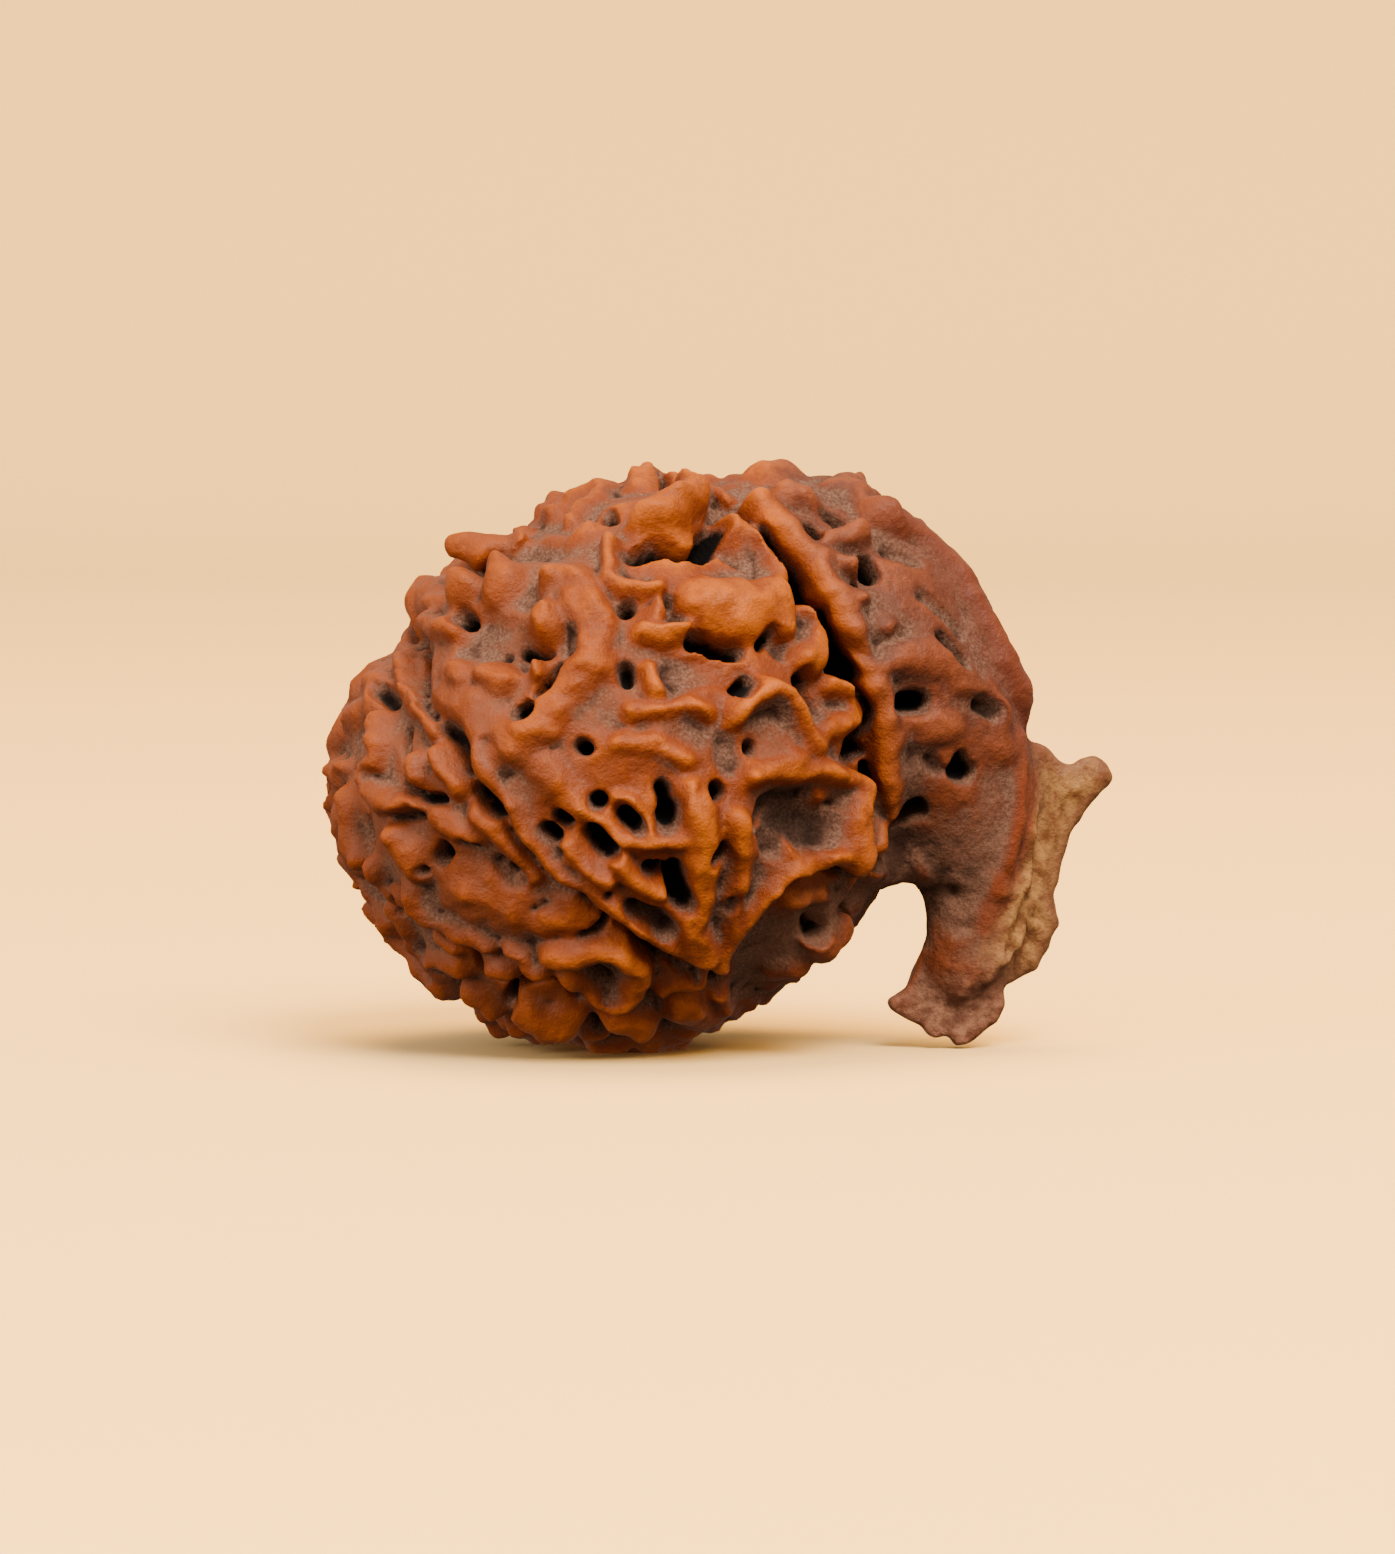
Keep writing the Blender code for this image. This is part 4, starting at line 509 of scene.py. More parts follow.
def frozen(thing):
    """The object's mesh with its modifiers and its place applied."""
    graph = bpy.context.evaluated_depsgraph_get()
    mesh = bpy.data.meshes.new_from_object(thing.evaluated_get(graph))
    mesh.transform(thing.matrix_world)
    return mesh


def points_of(mesh):
    found = np.empty(len(mesh.vertices) * 3)
    mesh.vertices.foreach_get("co", found)
    return found.reshape(-1, 3)


def normals_of(mesh):
    found = np.empty(len(mesh.vertices) * 3)
    mesh.vertices.foreach_get("normal", found)
    return found.reshape(-1, 3)

# %% [markdown]
# Overlapping shapes could be joined with a Boolean, which leaves a sharp line. A voxel remesh gives even
# faces instead. Smoothing then rounds the meeting line, as growth does.

# %% Joining and fusing
def joined(meshes):
    """One mesh that holds all of these, still overlapping."""
    shapes = bmesh.new()
    for mesh in meshes:
        shapes.from_mesh(mesh)
    bmesh.ops.remove_doubles(shapes, verts=shapes.verts, dist=1e-4)
    whole = bpy.data.meshes.new("joined")
    shapes.to_mesh(whole)
    shapes.free()
    return whole


def fused(mesh, voxel, rounds, collection):
    """The overlapping shapes as one closed skin, with their meeting lines smoothed."""
    thing = mesh_object("fusing", mesh, collection)
    remesh = thing.modifiers.new("fuse", "REMESH")
    remesh.mode = "VOXEL"
    remesh.voxel_size = voxel
    smooth = thing.modifiers.new("smooth", "SMOOTH")
    smooth.factor = 0.5
    smooth.iterations = rounds
    bpy.context.view_layer.update()
    skin = frozen(thing)
    bpy.data.objects.remove(thing)
    return skin

# %% [markdown]
# ## The smooth shape
#
# The body is a ball pushed out to its outline. A ball gives it depth for free, and the outline gives the
# uneven shape that is seen from the front.

# %% The body
def body_mesh():
    """A ball whose outline from the front is the body's outline."""
    bpy.ops.mesh.primitive_uv_sphere_add(segments=128, ring_count=80, radius=1.0)
    ball = bpy.context.object
    mesh = frozen(ball)
    bpy.data.objects.remove(ball)
    out = np.array([(across - BODY_CENTRE.x, up - BODY_CENTRE.z) for across, up in BODY_OUTLINE])
    turns = np.arctan2(out[:, 1], out[:, 0])
    order = np.argsort(turns)
    reach = np.linalg.norm(out, axis=1)[order]
    unit = points_of(mesh)
    turn = np.arctan2(unit[:, 2], unit[:, 0])
    radius = np.interp(turn, turns[order], reach, period=2 * math.pi)
    scaled = unit * np.stack([radius, np.full(len(unit), BODY_DEPTH), radius], axis=1)
    mesh.vertices.foreach_set("co", (scaled + np.array(BODY_CENTRE)).ravel())
    return mesh

# %% [markdown]
# The trunk is a tapering tube. A curve with a radius at each point makes it, so the taper is easy to change.

# %% Tapering tubes
def tube_mesh(name, stations, depth_scale, depth, collection):
    """A tapering tube along a line, scaled from front to back and moved back by depth."""
    line = bpy.data.curves.new(name, "CURVE")
    line.dimensions = "3D"
    line.bevel_depth = 1.0
    line.bevel_resolution = 10
    line.resolution_u = 8
    line.use_fill_caps = True
    spline = line.splines.new("NURBS")
    spline.points.add(len(stations) - 1)
    spline.order_u = 3
    spline.use_endpoint_u = True
    for point, (across, up, half_width) in zip(spline.points, stations):
        point.co = (across, 0.0, up, 1.0)
        point.radius = half_width
    tube = mesh_object(name, line, collection)
    tube.scale.y = depth_scale
    tube.location.y = depth
    bpy.context.view_layer.update()
    mesh = frozen(tube)
    bpy.data.objects.remove(tube)
    return mesh

# %% [markdown]
# The frill and the foot are flat blades with some thickness. A filled curve makes them straight from their
# outlines. The frill also bends towards the back, away from the camera.

# %% Blades
def blade_mesh(name, outline, thickness, collection):
    """A flat blade of this outline, standing in the XZ plane."""
    flat = bpy.data.curves.new(name, "CURVE")
    flat.dimensions = "2D"
    flat.fill_mode = "BOTH"
    flat.extrude = thickness / 2
    edge = flat.splines.new("POLY")
    edge.points.add(len(outline) - 1)
    edge.use_cyclic_u = True
    for point, (across, up) in zip(edge.points, outline):
        point.co = (across, up, 0.0, 1.0)
    blade = mesh_object(name, flat, collection)
    blade.rotation_euler.x = math.radians(90)
    bpy.context.view_layer.update()
    mesh = frozen(blade)
    bpy.data.objects.remove(blade)
    return mesh


def frill_mesh(collection):
    """The frill leaves the trunk's outer edge and bends towards the back."""
    mesh = blade_mesh("frill", FRILL_OUTLINE, FRILL_THICKNESS, collection)
    start_x, start_y = FRILL_START
    for vertex in mesh.vertices:
        vertex.co.y += start_y + FRILL_BEND_BACK * (vertex.co.x - start_x)
    return mesh

# %% [markdown]
# Body and trunk are fused and smoothed together, so that the root flows into the body. The blades are thin
# and are added after that, with less smoothing.

# %% Fusing
for old in [o for o in bpy.data.objects if o.type in {"LIGHT", "CAMERA"} or o.name == "Cube"]:
    bpy.data.objects.remove(old)
trunk = tube_mesh("trunk", TRUNK_LINE, TRUNK_DEPTH_SCALE, 0.0, scene_collection)
plain = fused(joined([body_mesh(), trunk]), VOXEL, PLAIN_ROUNDS, scene_collection)
finger = tube_mesh("finger", FINGER_LINE, 1.0, FINGER_DEPTH, scene_collection)
foot = blade_mesh("foot", FOOT_OUTLINE, FOOT_THICKNESS, scene_collection)
lobe = tube_mesh("lobe", LOBE_LINE, 1.0, LOBE_DEPTH, scene_collection)
thin_parts = [frill_mesh(scene_collection), foot, finger, lobe]
whole = fused(joined([plain] + thin_parts), VOXEL, JOIN_ROUNDS, scene_collection)
print("smooth shape:", len(whole.vertices), "vertices")

# %% [markdown]
# ## Finding places on the surface
#
# Strokes are drawn flat, as they are seen from the front. A ray along the view finds where each point lies
# on the round surface. Carving lifts the skin a little, so the aim allows for that lift.

# %% The surface
class Surface:
    """The smooth fused shape, and the ways to find a point on it."""

    def __init__(self, mesh):
        self.points = points_of(mesh)
        self.normals = normals_of(mesh)
        self.tree = BVHTree.FromPolygons(
            [tuple(p) for p in self.points], [tuple(f.vertices) for f in mesh.polygons]
        )
        self.look = Vector((0.0, math.cos(LOOK_DOWN), -math.sin(LOOK_DOWN)))
        self.up = Vector((0.0, math.sin(LOOK_DOWN), math.cos(LOOK_DOWN)))

    def on_front(self, across, up):
        """The point that is seen at this place from the front, or the nearest one to it past the edge."""
        place = Vector((across, 0.0, 0.0)) + self.up * up
        hit = self.tree.ray_cast(place - self.look * FAR_AWAY, self.look)[0]
        return hit or self.tree.find_nearest(place)[0]

    def aimed(self, across, up):
        """The point on the front that is seen at this place once it is carved, for carving raises it."""
        lift = self.tree.find_nearest(self.on_front(across, up))[1] * EDGE_LIFT
        return self.on_front(across - lift.x, up - lift.dot(self.up))

    def outwards(self, direction):
        """The body's surface in this direction from its centre."""
        far = BODY_CENTRE + direction.normalized() * FAR_AWAY
        return self.tree.ray_cast(far, -direction)[0]

    def is_hidden(self, point):
        """Whether the surface faces away from the front at this point and is no thin blade or knob."""
        normal = self.tree.find_nearest(point)[1]
        depth = self.tree.ray_cast(point - TOUCH * normal, -normal)[3]
        return normal.dot(self.look) > -0.12 and depth is not None and depth > THIN

    def seen_at(self):
        """Each vertex once it is carved, as (across, up) from the front, and whether it faces the front."""
        lifted = self.points + EDGE_LIFT * self.normals
        across = lifted[:, 0]
        up = lifted @ np.array(self.up)
        return across, up, self.normals @ np.array(self.look) < 0.1

# %% [markdown]
# ## Laying the strokes
#
# The strokes of the front are laid on the surface just as they were drawn.

# %% Strokes of the front
def laid(surface, strokes):
    """Strokes of the front as paths on the surface."""
    return [(half, height, [surface.aimed(*p) for p in path]) for half, height, path in strokes]


def front_strokes(surface):
    """All ridges and all pits of the front."""
    ridges = laid(surface, SHOULDER_RIDGES + PLATE_RIDGES + ROOT_RIDGES + LEFT_RIDGES)
    pits = laid(surface, SHOULDER_PITS + PLATE_PITS + ROOT_PITS + LEFT_PITS)
    return ridges, pits

# %% [markdown]
# On the far side, a furrow follows a meridian of the body. A short ridge takes a crooked walk over the skin.

# %% Meridians and walks
def meridian(surface, degrees, wander, draw):
    """A path from near one pole to near the other, at this angle round the body's axis."""
    axis = POLE.normalized()
    side = axis.orthogonal().normalized()
    path = []
    for step in range(1, 16):
        polar = math.radians(step * 180 / 16)
        turn = math.radians(degrees + draw.uniform(-wander, wander))
        outward = Matrix.Rotation(turn, 3, axis) @ side
        point = surface.outwards(axis * math.cos(polar) + outward * math.sin(polar))
        path.append(point)
    return path


def random_direction(draw):
    return Vector((draw.gauss(0, 1), draw.gauss(0, 1), draw.gauss(0, 1)))


def walk(surface, start, steps, stride, draw):
    """A crooked path over the surface."""
    path = [start]
    heading = random_direction(draw)
    for _ in range(steps):
        point, normal = surface.tree.find_nearest(path[-1])[:2]
        heading = heading + 0.9 * random_direction(draw)
        heading = (heading - normal * heading.dot(normal)).normalized()
        path.append(surface.tree.find_nearest(point + heading * stride)[0])
    return path

# %% [markdown]
# Places are tried at random. A place is kept if it can't be seen from the front, if the wood there is thick
# enough to carve, and if no other is too near.

# %% Places on the far side
def hidden_spots(surface, count, spacing, draw):
    """Points spread over the side that faces away from the front, no two closer than spacing."""
    spots = []
    for _ in range(count * 12):
        point = surface.outwards(random_direction(draw))
        on_trunk = point.x > TRUNK_TIP[0] and (point.z < TRUNK_TIP[1] or abs(point.y) < RIM_HALF_WIDTH)
        if on_trunk or not surface.is_hidden(point):
            continue
        if len(spots) < count and all((point - other).length > spacing for other in spots):
            spots.append(point)
    return spots

# %% [markdown]
# Each stroke draws from random numbers of its own. So it keeps its shape when the mesh gets finer.

# %% Strokes of the far side
def far_strokes(surface):
    """Ridges and pits of the far side, and the knob that the body rests on."""
    draw = random.Random(SEED)
    under = surface.outwards(Vector((0.0, 0.0, -1.0)) - Vector((BODY_CENTRE.x, 0.0, 0.0)) / BODY_CENTRE.z)
    ridges = [(RESTING_KNOB, 0.9, [under])]
    pits = []
    for degrees in FAR_FURROWS_DEG:
        path = meridian(surface, degrees, 3.0, draw)
        path = [p for p in path if surface.is_hidden(p)]
        pits.append((*FURROW, path))
        for side in (-LIP_OFFSET_DEG, LIP_OFFSET_DEG):
            lip = meridian(surface, degrees + side, 1.5, draw)
            ridges.append((*FURROW_LIP, [p for p in lip if surface.is_hidden(p)]))
    for number, spot in enumerate(hidden_spots(surface, FAR_RIDGES, FAR_RIDGE_SPACING, draw)):
        own = random.Random(SEED + number)
        path = walk(surface, spot, own.randint(1, 3), 0.95, own)
        ridges.append((own.uniform(*FAR_RIDGE_HALF), own.uniform(*FAR_RIDGE_HEIGHT), path))
    for number, spot in enumerate(hidden_spots(surface, FAR_PITS, FAR_PIT_SPACING, draw)):
        own = random.Random(SEED - number)
        path = [p for p in walk(surface, spot, own.randint(0, 1), 0.5, own) if surface.is_hidden(p)]
        pits.append((own.uniform(*FAR_PIT_HALF), own.uniform(*FAR_PIT_DEPTH), path))
    return ridges, pits

# %% [markdown]
# ## From strokes to heights
#
# Smooth noise bends the strokes and makes the skin swell. Its lengths are set in millimetres, so it looks
# the same on a coarse mesh and on a fine one.

# %% Noise
def waves(points, length):
    """Smooth noise over the points, from about -1 to 1."""
    return np.array([noise.noise(Vector(p) / length) for p in points])


def strayed(points):
    """The points, shifted a little by smooth noise, so that strokes are not perfect tubes."""
    shifts = [noise.noise_vector(Vector(p) / STROKE_STRAY_LENGTH) for p in points]
    return points + STROKE_STRAY * np.array(shifts)


def swells(points):
    return sum(height * waves(points, length) for length, height in SWELLS)


def knobs(points, raised):
    """Round bumps, which stand on the ridges more than between them."""
    bumps = sum(height * np.abs(waves(points, length)) ** 1.5 * 2 for length, height in KNOBS)
    return bumps * (0.3 + np.clip(raised, 0.0, 0.7))

# %% [markdown]
# The height of a stroke depends only on how far a vertex is from its path. Ridges and pits differ in their
# section.

# %% Sections of strokes
def distance_to_path(points, path):
    nearest = np.full(len(points), np.inf)
    ends = path[1:] or path
    for a, b in zip(path, ends):
        a, b = np.array(a), np.array(b)
        along = b - a
        length_squared = along @ along
        share = np.clip((points - a) @ along / max(length_squared, TINY), 0, 1)
        nearest = np.minimum(nearest, np.linalg.norm(points - a - share[:, None] * along, axis=1))
    return nearest


def dome(share):
    """The section of a ridge: round on top, with a wide soft foot."""
    core = np.clip(1 - share**2, 0, 1) ** 0.8
    foot = np.clip(1 - (share / RIDGE_FOOT) ** 2, 0, 1) ** 2
    return RIDGE_CORE * core + (1 - RIDGE_CORE) * foot


def well(share):
    """The section of a pit: a flat bottom and steep sides."""
    return np.clip(1 - share**3, 0, 1) ** 0.8

# %% [markdown]
# Where strokes cross, the highest one wins, and near ties are blended. So crossings look grown and don't
# pile up into peaks.

# %% Heights of strokes
def stroke_heights(points, widths, strokes, section, reach):
    """The highest stroke over each point, with near ties blended."""
    total = np.zeros(len(points))
    for half, height, path in strokes:
        if not path:
            continue
        corners = np.array([list(p) for p in path])
        margin = half * reach * (1 + BEADING)
        near = ((points > corners.min(0) - margin) & (points < corners.max(0) + margin)).all(1)
        if near.any():
            share = distance_to_path(points[near], path) / (half * widths[near])
            total[near] += (height * section(share)) ** BLEND
    return total ** (1 / BLEND)

# %% [markdown]
# An outline works as a mask. Its depth tells how far inside it a vertex lies.

# %% Masks
def outline_depth(across, up, outline):
    """How far each point is inside a closed outline; it is negative outside."""
    inside = np.zeros(len(across), bool)
    nearest = np.full(len(across), np.inf)
    for (ax, ay), (bx, by) in zip(outline, outline[1:] + outline[:1]):
        dx, dy = bx - ax, by - ay
        share = np.clip(((across - ax) * dx + (up - ay) * dy) / (dx * dx + dy * dy), 0, 1)
        nearest = np.minimum(nearest, np.hypot(across - ax - share * dx, up - ay - share * dy))
        if ay != by:
            crosses = ((ay > up) != (by > up)) & (across < (up - ay) / (by - ay) * dx + ax)
            inside ^= crosses
    return np.where(inside, nearest, -nearest)


def calm(across, up):
    """The share of the relief at each place: full on the body, less on the trunk, little on the frill."""
    frill = np.clip((across - FRILL_START[0]) / 1.0, 0.0, 1.0)
    trunk = np.clip((across - TRUNK_TIP[0]) / 1.5, 0.0, 1.0)
    beside = np.clip((across - FOOT_START) / 0.8, 0.0, 1.0)
    tip = beside * np.clip((TRUNK_TIP[1] - up) / 3.0, 0.0, 1.0)
    return 1 - np.maximum(np.maximum(FRILL_CALM * frill, TIP_CALM * tip), TRUNK_CALM * trunk)

# %% [markdown]
# Now the strokes are laid on the fused shape.

# %% All strokes
surface = Surface(whole)
far_ridges, far_pits = far_strokes(surface)
front_ridges, front_pits = front_strokes(surface)
ridges, pits = front_ridges + far_ridges, front_pits + far_pits
print("all strokes:", len(ridges), "ridges and", len(pits), "pits")

# %% [markdown]
# The relief is the plate's lift, the ridges, the pits and the swells together. A fine grain is added that
# the plain model leaves out.

# %% Carving
points = strayed(surface.points)
across, up, facing = surface.seen_at()
widths = 1 + BEADING * waves(surface.points, BEAD_LENGTH)
plate = np.clip(outline_depth(across, up, PLATE_OUTLINE) / PLATE_EDGE, 0, 1) * facing
ridge_widths = RIDGE_WIDTH * widths
raised = RIDGE_GAIN * stroke_heights(points, ridge_widths, ridges, dome, RIDGE_WIDTH * RIDGE_FOOT)
sunk = PIT_GAIN * stroke_heights(points, widths, pits, well, 1.0)
loose = raised - sunk + swells(points) + knobs(points, raised) - HOLLOW
relief = PLATE_LIFT * plate + calm(across, up) * loose
grain = sum(height * waves(surface.points, length) for length, height in GRAIN)
carved_points = surface.points + surface.normals * (relief + grain)[:, None]
whole.vertices.foreach_set("co", carved_points.ravel())
whole.update()
print("relief, mm:", round(relief.min(), 2), "to", round(relief.max(), 2))

# %% [markdown]
# The carved skin is remeshed once more, thinned and cut level where it rests.

# %% The finished mesh
skin = fused(whole, VOXEL, SKIN_ROUNDS, scene_collection)
seed = mesh_object("seed_skin", skin, scene_collection)
thin = seed.modifiers.new("thin", "DECIMATE")
thin.ratio = TRIANGLES / sum(len(f.vertices) - 2 for f in skin.polygons)
bpy.context.view_layer.update()
mesh = frozen(seed)
seed.modifiers.clear()
seed.data = mesh
lying = points_of(mesh)
lying[:, 2] = np.maximum(lying[:, 2], 0.0)
mesh.vertices.foreach_set("co", lying.ravel())
mesh.update()
print("finished mesh:", len(mesh.polygons), "faces")

# %% [markdown]
# ## What the colours follow
#
# On a real stone the colour follows the form. Ridges are rubbed bright and hollows hold dust. Shade is also
# painted into the creases, and the pits are painted black as shadow. A painted image would need unwrapping,
# and this skin is too folded for that. So numbers are stored on each vertex, and the material reads them.
#
# The first, `pit`, says how deep a vertex lies in a pit. The finished mesh has other vertices than the
# carved one, so each takes the number of the nearest.

# %% Heights carried over to the finished mesh
tree = KDTree(len(carved_points))
for index, point in enumerate(carved_points):
    tree.insert(point, index)
tree.balance()
nearest = np.array([tree.find(p)[1] for p in lying])


def stored(name, values):
    layer = mesh.attributes.new(name, "FLOAT", "POINT")
    layer.data.foreach_set("value", np.ascontiguousarray(values, dtype=np.float32))


DEEP_PIT = 1.2
depth_share = np.clip(sunk[nearest] / DEEP_PIT, 0, 1)
stored("pit", depth_share)
print("vertices in a deep pit:", int((depth_share == 1).sum()), "of", len(lying))

# %% [markdown]
# A vertex stands out if it is above the average of its neighbourhood. The neighbourhood is found by
# averaging along the edges many times. A few rounds give `crest`, which finds fine creases. Many rounds give
# `stand`, which finds whole ridges and hollows.

# %% Crests and creases
edge_ends = np.empty(len(mesh.edges) * 2, np.int64)
mesh.edges.foreach_get("vertices", edge_ends)
edge_ends = edge_ends.reshape(-1, 2)
neighbours = np.bincount(edge_ends.ravel(), minlength=len(lying)).astype(float)


def averaged(values, rounds):
    for _ in range(rounds):
        total = np.empty_like(values)
        for column in range(values.shape[1]):
            ahead = np.bincount(edge_ends[:, 0], values[edge_ends[:, 1], column], len(values))
            behind = np.bincount(edge_ends[:, 1], values[edge_ends[:, 0], column], len(values))
            total[:, column] = (ahead + behind) / neighbours
        values = 0.5 * values + 0.5 * total
    return values


CREST_ROUNDS, STAND_ROUNDS = 12, 120
skin_normals = normals_of(mesh)
crest = ((lying - averaged(lying, CREST_ROUNDS)) * skin_normals).sum(1)
stand = ((lying - averaged(lying, STAND_ROUNDS)) * skin_normals).sum(1)
stored("crest", crest)
stored("stand", stand)
for name, values in (("crest", crest), ("stand", stand)):
    print(name, "from low to high, mm:", np.percentile(values, [5, 50, 95]).round(3))

# %% [markdown]
# Regions are outlines in the front view, and each mask fades over its border. The first two are the trunk's
# redder wood, `root`, and the tan `frill`.

# %% The trunk and the frill as regions
ROOT_OUTLINE = [
    (4.6, 23.0), (5.6, 19.4), (6.6, 18.0), (7.2, 16.6), (8.0, 14.6), (8.9, 12.4), (9.2, 10.8), (9.4, 9.4),
    (9.0, 7.4), (8.3, 6.1), (7.3, 6.3), (6.1, 6.0), (4.9, 4.9), (3.9, 3.8), (3.6, 2.6), (8.0, -1.0),
    (19.0, -1.0), (19.0, 14.0), (15.5, 18.0), (11.0, 23.0),
]
BLADE_OUTLINE = [
    (14.9, 12.0), (14.9, 9.4), (14.5, 7.8), (13.9, 6.2), (13.1, 4.8), (12.8, 3.2), (13.2, 1.8), (14.5, 1.6),
    (18.5, 3.0), (19.0, 12.0),
]
lying_across = lying[:, 0]
lying_up = lying @ np.array(surface.up)


def region(outline, fade):
    return np.clip(0.5 + outline_depth(lying_across, lying_up, outline) / fade, 0, 1)


stored("root", region(ROOT_OUTLINE, fade=1.2))
stored("frill", region(BLADE_OUTLINE, fade=0.8))

# %% [markdown]
# Two lines of red wood run along the trunk. `rim` follows its outer edge, and `fold` follows the line where
# the frill leaves it.

# %% Lines along the trunk
RIM_LINE = [(9.8, 20.2), (11.4, 18.9), (12.8, 17.2), (13.6, 15.4), (14.4, 13.6), (14.9, 12.0)]
FOLD_LINE = [(14.5, 10.0), (14.2, 8.2), (13.8, 6.6), (13.2, 5.3), (12.8, 4.6)]
RIM_REACH, FOLD_WIDTH = 1.6, 0.4
flat_place = np.stack([lying_across, lying_up, np.zeros(len(lying))], axis=1)
rim_distance = distance_to_path(flat_place, [Vector((a, u, 0.0)) for a, u in RIM_LINE])
stored("rim", np.clip(RIM_REACH - rim_distance, 0, 1))
fold_distance = distance_to_path(flat_place, [Vector((a, u, 0.0)) for a, u in FOLD_LINE])
stored("fold", np.clip(1.5 - fold_distance / FOLD_WIDTH, 0, 1))

# %% [markdown]
# `tip` is the trunk's dusty lower part and the segment under the plate. `shade` marks the bend of the trunk,
# where shade falls; there the shade is painted as dark mottled patches.

# %% Dusty wood and painted shade
TIP_OUTLINE = [
    (9.2, 10.5), (11.5, 9.6), (13.0, 10.2), (14.2, 8.4), (14.0, 5.0), (14.6, -1.0), (8.4, -1.0), (8.6, 7.0),
]
SEGMENT_OUTLINE = [
    (8.8, 6.4), (8.2, 5.9), (7.3, 6.1), (6.1, 5.8), (4.9, 4.7), (3.9, 3.5), (3.6, 2.0), (9.4, 3.0),
]
SHADE_OUTLINE = [
    (8.7, 6.0), (8.9, 8.8), (10.0, 10.2), (11.6, 10.0), (12.6, 8.6), (12.6, 6.6), (11.2, 5.0), (9.6, 5.4),
]
stored("tip", np.maximum(region(TIP_OUTLINE, fade=2.0), region(SEGMENT_OUTLINE, fade=0.6)))
stored("shade", region(SHADE_OUTLINE, fade=1.6))

# %% [markdown]
# `worn` grows from left to right, because the left side is less rubbed. `foot` is the paler spread tip, and
# `edge` is the darker border of the frill.

# %% Wear, the foot and the frill's edge
FOOT_GLOW = [(9.0, 1.9), (11.2, 2.4), (12.6, 2.8), (13.9, 3.4), (14.6, -1.0), (8.6, -1.0)]
WEAR_STARTS, WEAR_OVER, LEAST_WEAR, EDGE_WIDTH = -9.0, 10.0, 0.35, 0.7
blade_depth = outline_depth(lying_across, lying_up, FRILL_OUTLINE)
stored("worn", np.clip((lying_across - WEAR_STARTS) / WEAR_OVER, LEAST_WEAR, 1.0))
stored("foot", region(FOOT_GLOW, fade=1.4))
stored("edge", np.clip(1.0 - blade_depth / EDGE_WIDTH, 0, 1) * region(BLADE_OUTLINE, fade=0.8))
print("stored:", ", ".join(layer.name for layer in mesh.attributes if layer.data_type == "FLOAT"))

# %% [markdown]
# The mesh is finished, so it is scaled from millimetres to metres.

# %% To metres
seed.data.transform(Matrix.Scale(MM, 4))
mesh.shade_smooth()

# %% [markdown]
# ## The skin's finish
#
# The ridges are rubbed to an orange-brown waxy shine. Dust lies in the hollows, and it is rougher and
# greyer. Shade is painted into the low places and creases, and deep pits are painted nearly black as shadow.
#
# Colours are written as sRGB codes, as a paint program gives them. The material needs linear light, so one
# function turns them.

# %% Colours
def linear(code):
    """An sRGB colour code as linear light."""
    parts = [int(code[i : i + 2], 16) / 255 for i in (1, 3, 5)]
    return tuple(c / 12.92 if c <= 0.04045 else ((c + 0.055) / 1.055) ** 2.4 for c in parts) + (1.0,)


# %% [markdown]
# A material is a set of linked nodes. One small function adds a node and links whatever it is given.

# %% Adding nodes
material = bpy.data.materials.new("worn rudraksha shell")
material.use_nodes = True
nodes = material.node_tree.nodes
links = material.node_tree.links
shader = nodes["Principled BSDF"]


def add(kind, inputs=None, **settings):
    node = nodes.new(kind)
    for key, value in settings.items():
        setattr(node, key, value)
    for key, value in (inputs or {}).items():
        if isinstance(value, bpy.types.NodeSocket):
            links.new(value, node.inputs[key])
        else:
            node.inputs[key].default_value = value
    return node


# %% [markdown]
# A few more helpers are enough. They read a stored number, turn one range into another, do sums and mix
# colours.

# %% Reading, turning and mixing
def attribute(name):
    return add("ShaderNodeAttribute", attribute_name=name).outputs["Fac"]


def ramp(value, low, high, start=0.0, end=1.0):
    """value from low..high to start..end, with soft ends and nothing past them."""
    node = add(
        "ShaderNodeMapRange",
        {"Value": value, "From Min": low, "From Max": high, "To Min": start, "To Max": end},
        interpolation_type="SMOOTHSTEP",
    )
    return node.outputs["Result"]


def math_node(operation, a, b):
    return add("ShaderNodeMath", {0: a, 1: b}, operation=operation).outputs[0]


def plus(a, b):
    return math_node("ADD", a, b)


def minus(a, b):
    return math_node("SUBTRACT", a, b)


def times(a, b):
    return math_node("MULTIPLY", a, b)


def mixed(share, a, b):
    node = add("ShaderNodeMix", data_type="RGBA")
    for key, value in ((0, share), (6, a), (7, b)):
        if isinstance(value, bpy.types.NodeSocket):
            links.new(value, node.inputs[key])
        else:
            node.inputs[key].default_value = value
    return node.outputs[2]


# %% [markdown]
# Noise is measured in the object's own space, in millimetres. So `grains(0.13)` makes specks about 0.13 mm
# across, which is the size of the dust.

# %% Noise patterns
place = add("ShaderNodeTexCoord").outputs["Object"]
place_mm = add("ShaderNodeVectorMath", {0: place, 3: 1 / MM}, operation="SCALE").outputs[0]


def grains(size_mm, detail=3.0, roughness=0.55):
    settings = {"Vector": place_mm, "Scale": 1 / size_mm, "Detail": detail, "Roughness": roughness}
    return add("ShaderNodeTexNoise", settings).outputs["Fac"]


blotches = grains(3.0)
mottle = grains(0.8)
dust_grain = grains(0.13, 3.0, 0.65)
dust_patch = grains(0.6, 4.0, 0.65)
pores = grains(0.4, 4.0, 0.65)
flecks = grains(0.3, 4.0, 0.7)

# %% [markdown]
# The material reads the stored numbers.

